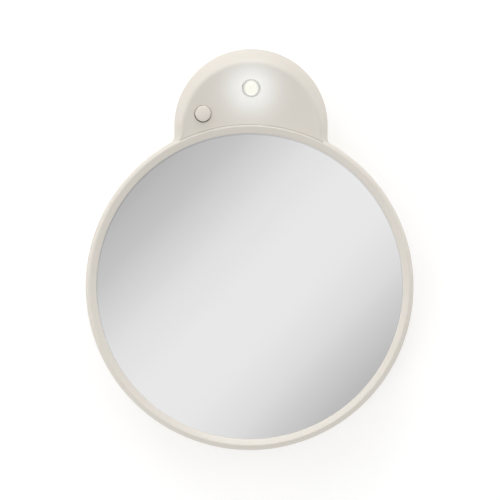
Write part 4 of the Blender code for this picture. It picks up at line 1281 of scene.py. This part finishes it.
# Finishes of the carried-over nodes

nodeFinishes = [
    (blackFoam, "foam", ["foam_ring"]),
    (stripNickel, "strip", ["contact_negative", "contact_link", "contact_positive"]),
    (boardGreen, "board", ["circuit_board"]),
    (blackPlastic, "black_plastic", ["resistor", "switch_plunger", "switch_body"]),
    (screwSteel, "steel", ["switch_cover"]),
    (legTin, "steel", ["led_lead_1", "led_lead_2", "switch_spring", "switch_pin_1", "switch_pin_2"]),
]
for finish, slotName, nodeNames in nodeFinishes:
    for nodeName in nodeNames:
        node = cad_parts[nodeName]
        node.data.materials.clear()
        node.data.materials.append(finish)
print("inner pieces finished")


# Wall, floor, light and camera

stage = {
    "wallSize": 5.0,
    "wallBehind": 0.0004,
    "floorLevel": -0.22,
    "floorReach": 1.4,
    "white": 0.9,
    "cameraLift": 0.234,
    "fade": (-1.4, -0.12),  # from the floor's front edge to the object, for what the mirror shows of the sheets
    # (share of that way, tone)
    "fadeStops": [(0.0, 0.77), (0.42, 0.5), (1.0, 1.0)],
}
studio = {
    "worldLevel": 0.77,
    "middle": (0, -0.015, 0.013),
    "distance": 1.3,
    # name: (azimuth from straight in front, elevation, size, power)
    "lamps": {
        "key": (-50, 50, 0.7, 2.0),
        "left": (-75, 15, 0.7, 1.9),
        "top": (0, 70, 0.7, 3.5),
        "topRight": (40, 60, 0.7, 1.3),
        "right": (75, 15, 0.7, 1.2),
        "low": (-35, -35, 0.7, 1.8),
        "backLeft": (-150, 45, 0.9, 1.6),
        "backRight": (145, 10, 0.9, 0.6),
    },
}


def makeStageMaterial(name):
    # white from the front, open from behind; reflections see a slope of tone towards the front instead
    material = bpy.data.materials.new(name)
    material.use_nodes = True
    tree = material.node_tree
    tree.nodes.clear()
    out = addNode(tree, "OutputMaterial")
    white = addNode(tree, "BsdfDiffuse", Color=grey(stage["white"]))
    glossy = addNode(tree, "LightPath").outputs["Is Glossy Ray"]
    seen = mathStep(tree, "MAXIMUM", cameraSees(tree), glossy)
    lift = addNode(tree, "Emission", Strength=mathStep(tree, "MULTIPLY", seen, stage["cameraLift"]))
    both = feed(addNode(tree, "AddShader"), white.outputs[0], lift.outputs[0])
    forward = alongY(tree, addNode(tree, "TexCoord").outputs["Object"])
    stops = [(where, grey(tone)) for where, tone in stage["fadeStops"]]
    tones = colourRamp(tree, remap(tree, forward, 0.0, 1.0, *stage["fade"]), stops, "EASE")
    reflected = addNode(tree, "Emission", Color=tones)
    front = mixShaders(tree, glossy, both.outputs[0], reflected.outputs[0])
    through = addNode(tree, "BsdfTransparent")
    face = addNode(tree, "NewGeometry")
    put(mixShaders(tree, face.outputs["Backfacing"], front, through.outputs[0]), out.inputs["Surface"])
    return material


def makeSheet(name, corners):
    mesh = bpy.data.meshes.new(name)
    mesh.from_pydata(corners, [], [(0, 1, 2, 3)])
    mesh.materials.append(stageWhite)
    sheet = addObject(name, mesh)
    sheet.visible_diffuse = False
    sheet.visible_shadow = False


stageWhite = makeStageMaterial("stageWhite")
half, behind, level = stage["wallSize"] / 2, stage["wallBehind"], stage["floorLevel"]
makeSheet("wall", [(-half, behind, -half), (half, behind, -half), (half, behind, half), (-half, behind, half)])
near = stage["floorReach"]
makeSheet("floor", [(-half, -near, level), (half, -near, level), (half, half, level), (-half, half, level)])


def outward(azimuth, elevation):
    # azimuth 0 is straight in front
    a, e = radians(azimuth), radians(elevation)
    return Vector((sin(a) * cos(e), -cos(a) * cos(e), sin(e)))


def aim(obj, spot, target, roll=0.0):
    turn = (target - spot).to_track_quat("-Z", "Y").to_matrix().to_4x4()
    obj.matrix_world = Matrix.Translation(spot) @ turn @ Matrix.Rotation(roll, 4, "Z")


def addLamp(name, azimuth, elevation, size, power):
    data = bpy.data.lights.new(name, "AREA")
    data.shape = "DISK"
    data.size = size
    data.energy = power
    light = addObject(name, data)
    light.visible_camera = False
    middle = Vector(studio["middle"])
    aim(light, middle + outward(azimuth, elevation) * studio["distance"], middle)


for name, where in studio["lamps"].items():
    addLamp(name + "Lamp", *where)

glow = {
    "colour": (0.82, 1.0, 1.25),
    "distance": 13.0,  # in front of the dome
    "power": 0.0033,
    "cone": radians(110.0),
    "radius": 1.0,
}


def addGlow():
    # the light that the lamp throws back on the dome around it
    data = bpy.data.lights.new("lampGlow", "SPOT")
    data.energy = glow["power"]
    data.color = glow["colour"]
    data.spot_size = glow["cone"]
    data.spot_blend = 1.0
    data.shadow_soft_size = glow["radius"] * mm
    light = addObject("lampGlow", data)
    light.visible_camera = False
    light.visible_glossy = False
    aim(light, lyingToFrame @ (ledSurface + ledAxis * glow["distance"]), lyingToFrame @ ledSurface)


addGlow()


# World: an even studio, white to the camera, with a soft diagonal sweep straight in front for the mirror to show

sweep = {
    "heading": (0.731, 0, -0.682),
    "ends": (-0.955, -0.85),  # how far forward a direction points where the sweep gives way to the even studio
    "stops": [
        (-0.248, 0.53), (-0.218, 0.596), (-0.17, 0.758), (-0.121, 0.865), (-0.071, 0.901),
        (-0.021, 0.874), (0.028, 0.799), (0.078, 0.653), (0.126, 0.543), (0.167, 0.47),
    ],
}


def buildWorld():
    world = bpy.data.worlds.new("studio")
    bpy.context.scene.world = world
    world.use_nodes = True
    tree = world.node_tree
    tree.nodes.clear()
    out = addNode(tree, "OutputWorld")
    place = addNode(tree, "TexCoord").outputs["Generated"]
    across = vectorStep(tree, "DOT_PRODUCT", place, sweep["heading"])
    stops = [(where + 0.5, grey(tone)) for where, tone in sweep["stops"]]
    front = colourRamp(tree, remap(tree, across, 0.0, 1.0, -0.5, 0.5), stops, "CARDINAL")
    aside = remap(tree, alongY(tree, place), 0.0, 1.0, *sweep["ends"])
    soft = addNode(tree, "Background", Color=mixColours(tree, aside, front, grey(studio["worldLevel"])))
    white = addNode(tree, "Background", Color=grey(1.0))
    put(mixShaders(tree, cameraSees(tree), soft.outputs[0], white.outputs[0]), out.inputs["Surface"])


buildWorld()

shot = {  # degrees and millimetres
    "elevation": -4.2,
    "azimuth": 0.5,
    "roll": 0.52,
    "distance": 1000.0,
    "frameHeight": 174.75,
    "target": (0.02, 12.6, 20.0),
}


def addCamera():
    data = bpy.data.cameras.new("camera")
    data.sensor_width = 36.0
    data.lens = data.sensor_width * shot["distance"] / shot["frameHeight"]
    data.clip_start = 0.05
    data.clip_end = 20.0
    camera = addObject("camera", data)
    target = lyingToFrame @ Vector(shot["target"])
    away = outward(shot["azimuth"], shot["elevation"]) * shot["distance"] * mm
    aim(camera, target + away, target, radians(shot["roll"]))
    bpy.context.scene.camera = camera


addCamera()
bpy.context.scene.view_settings.view_transform = "Standard"
print("stage, light and camera set")
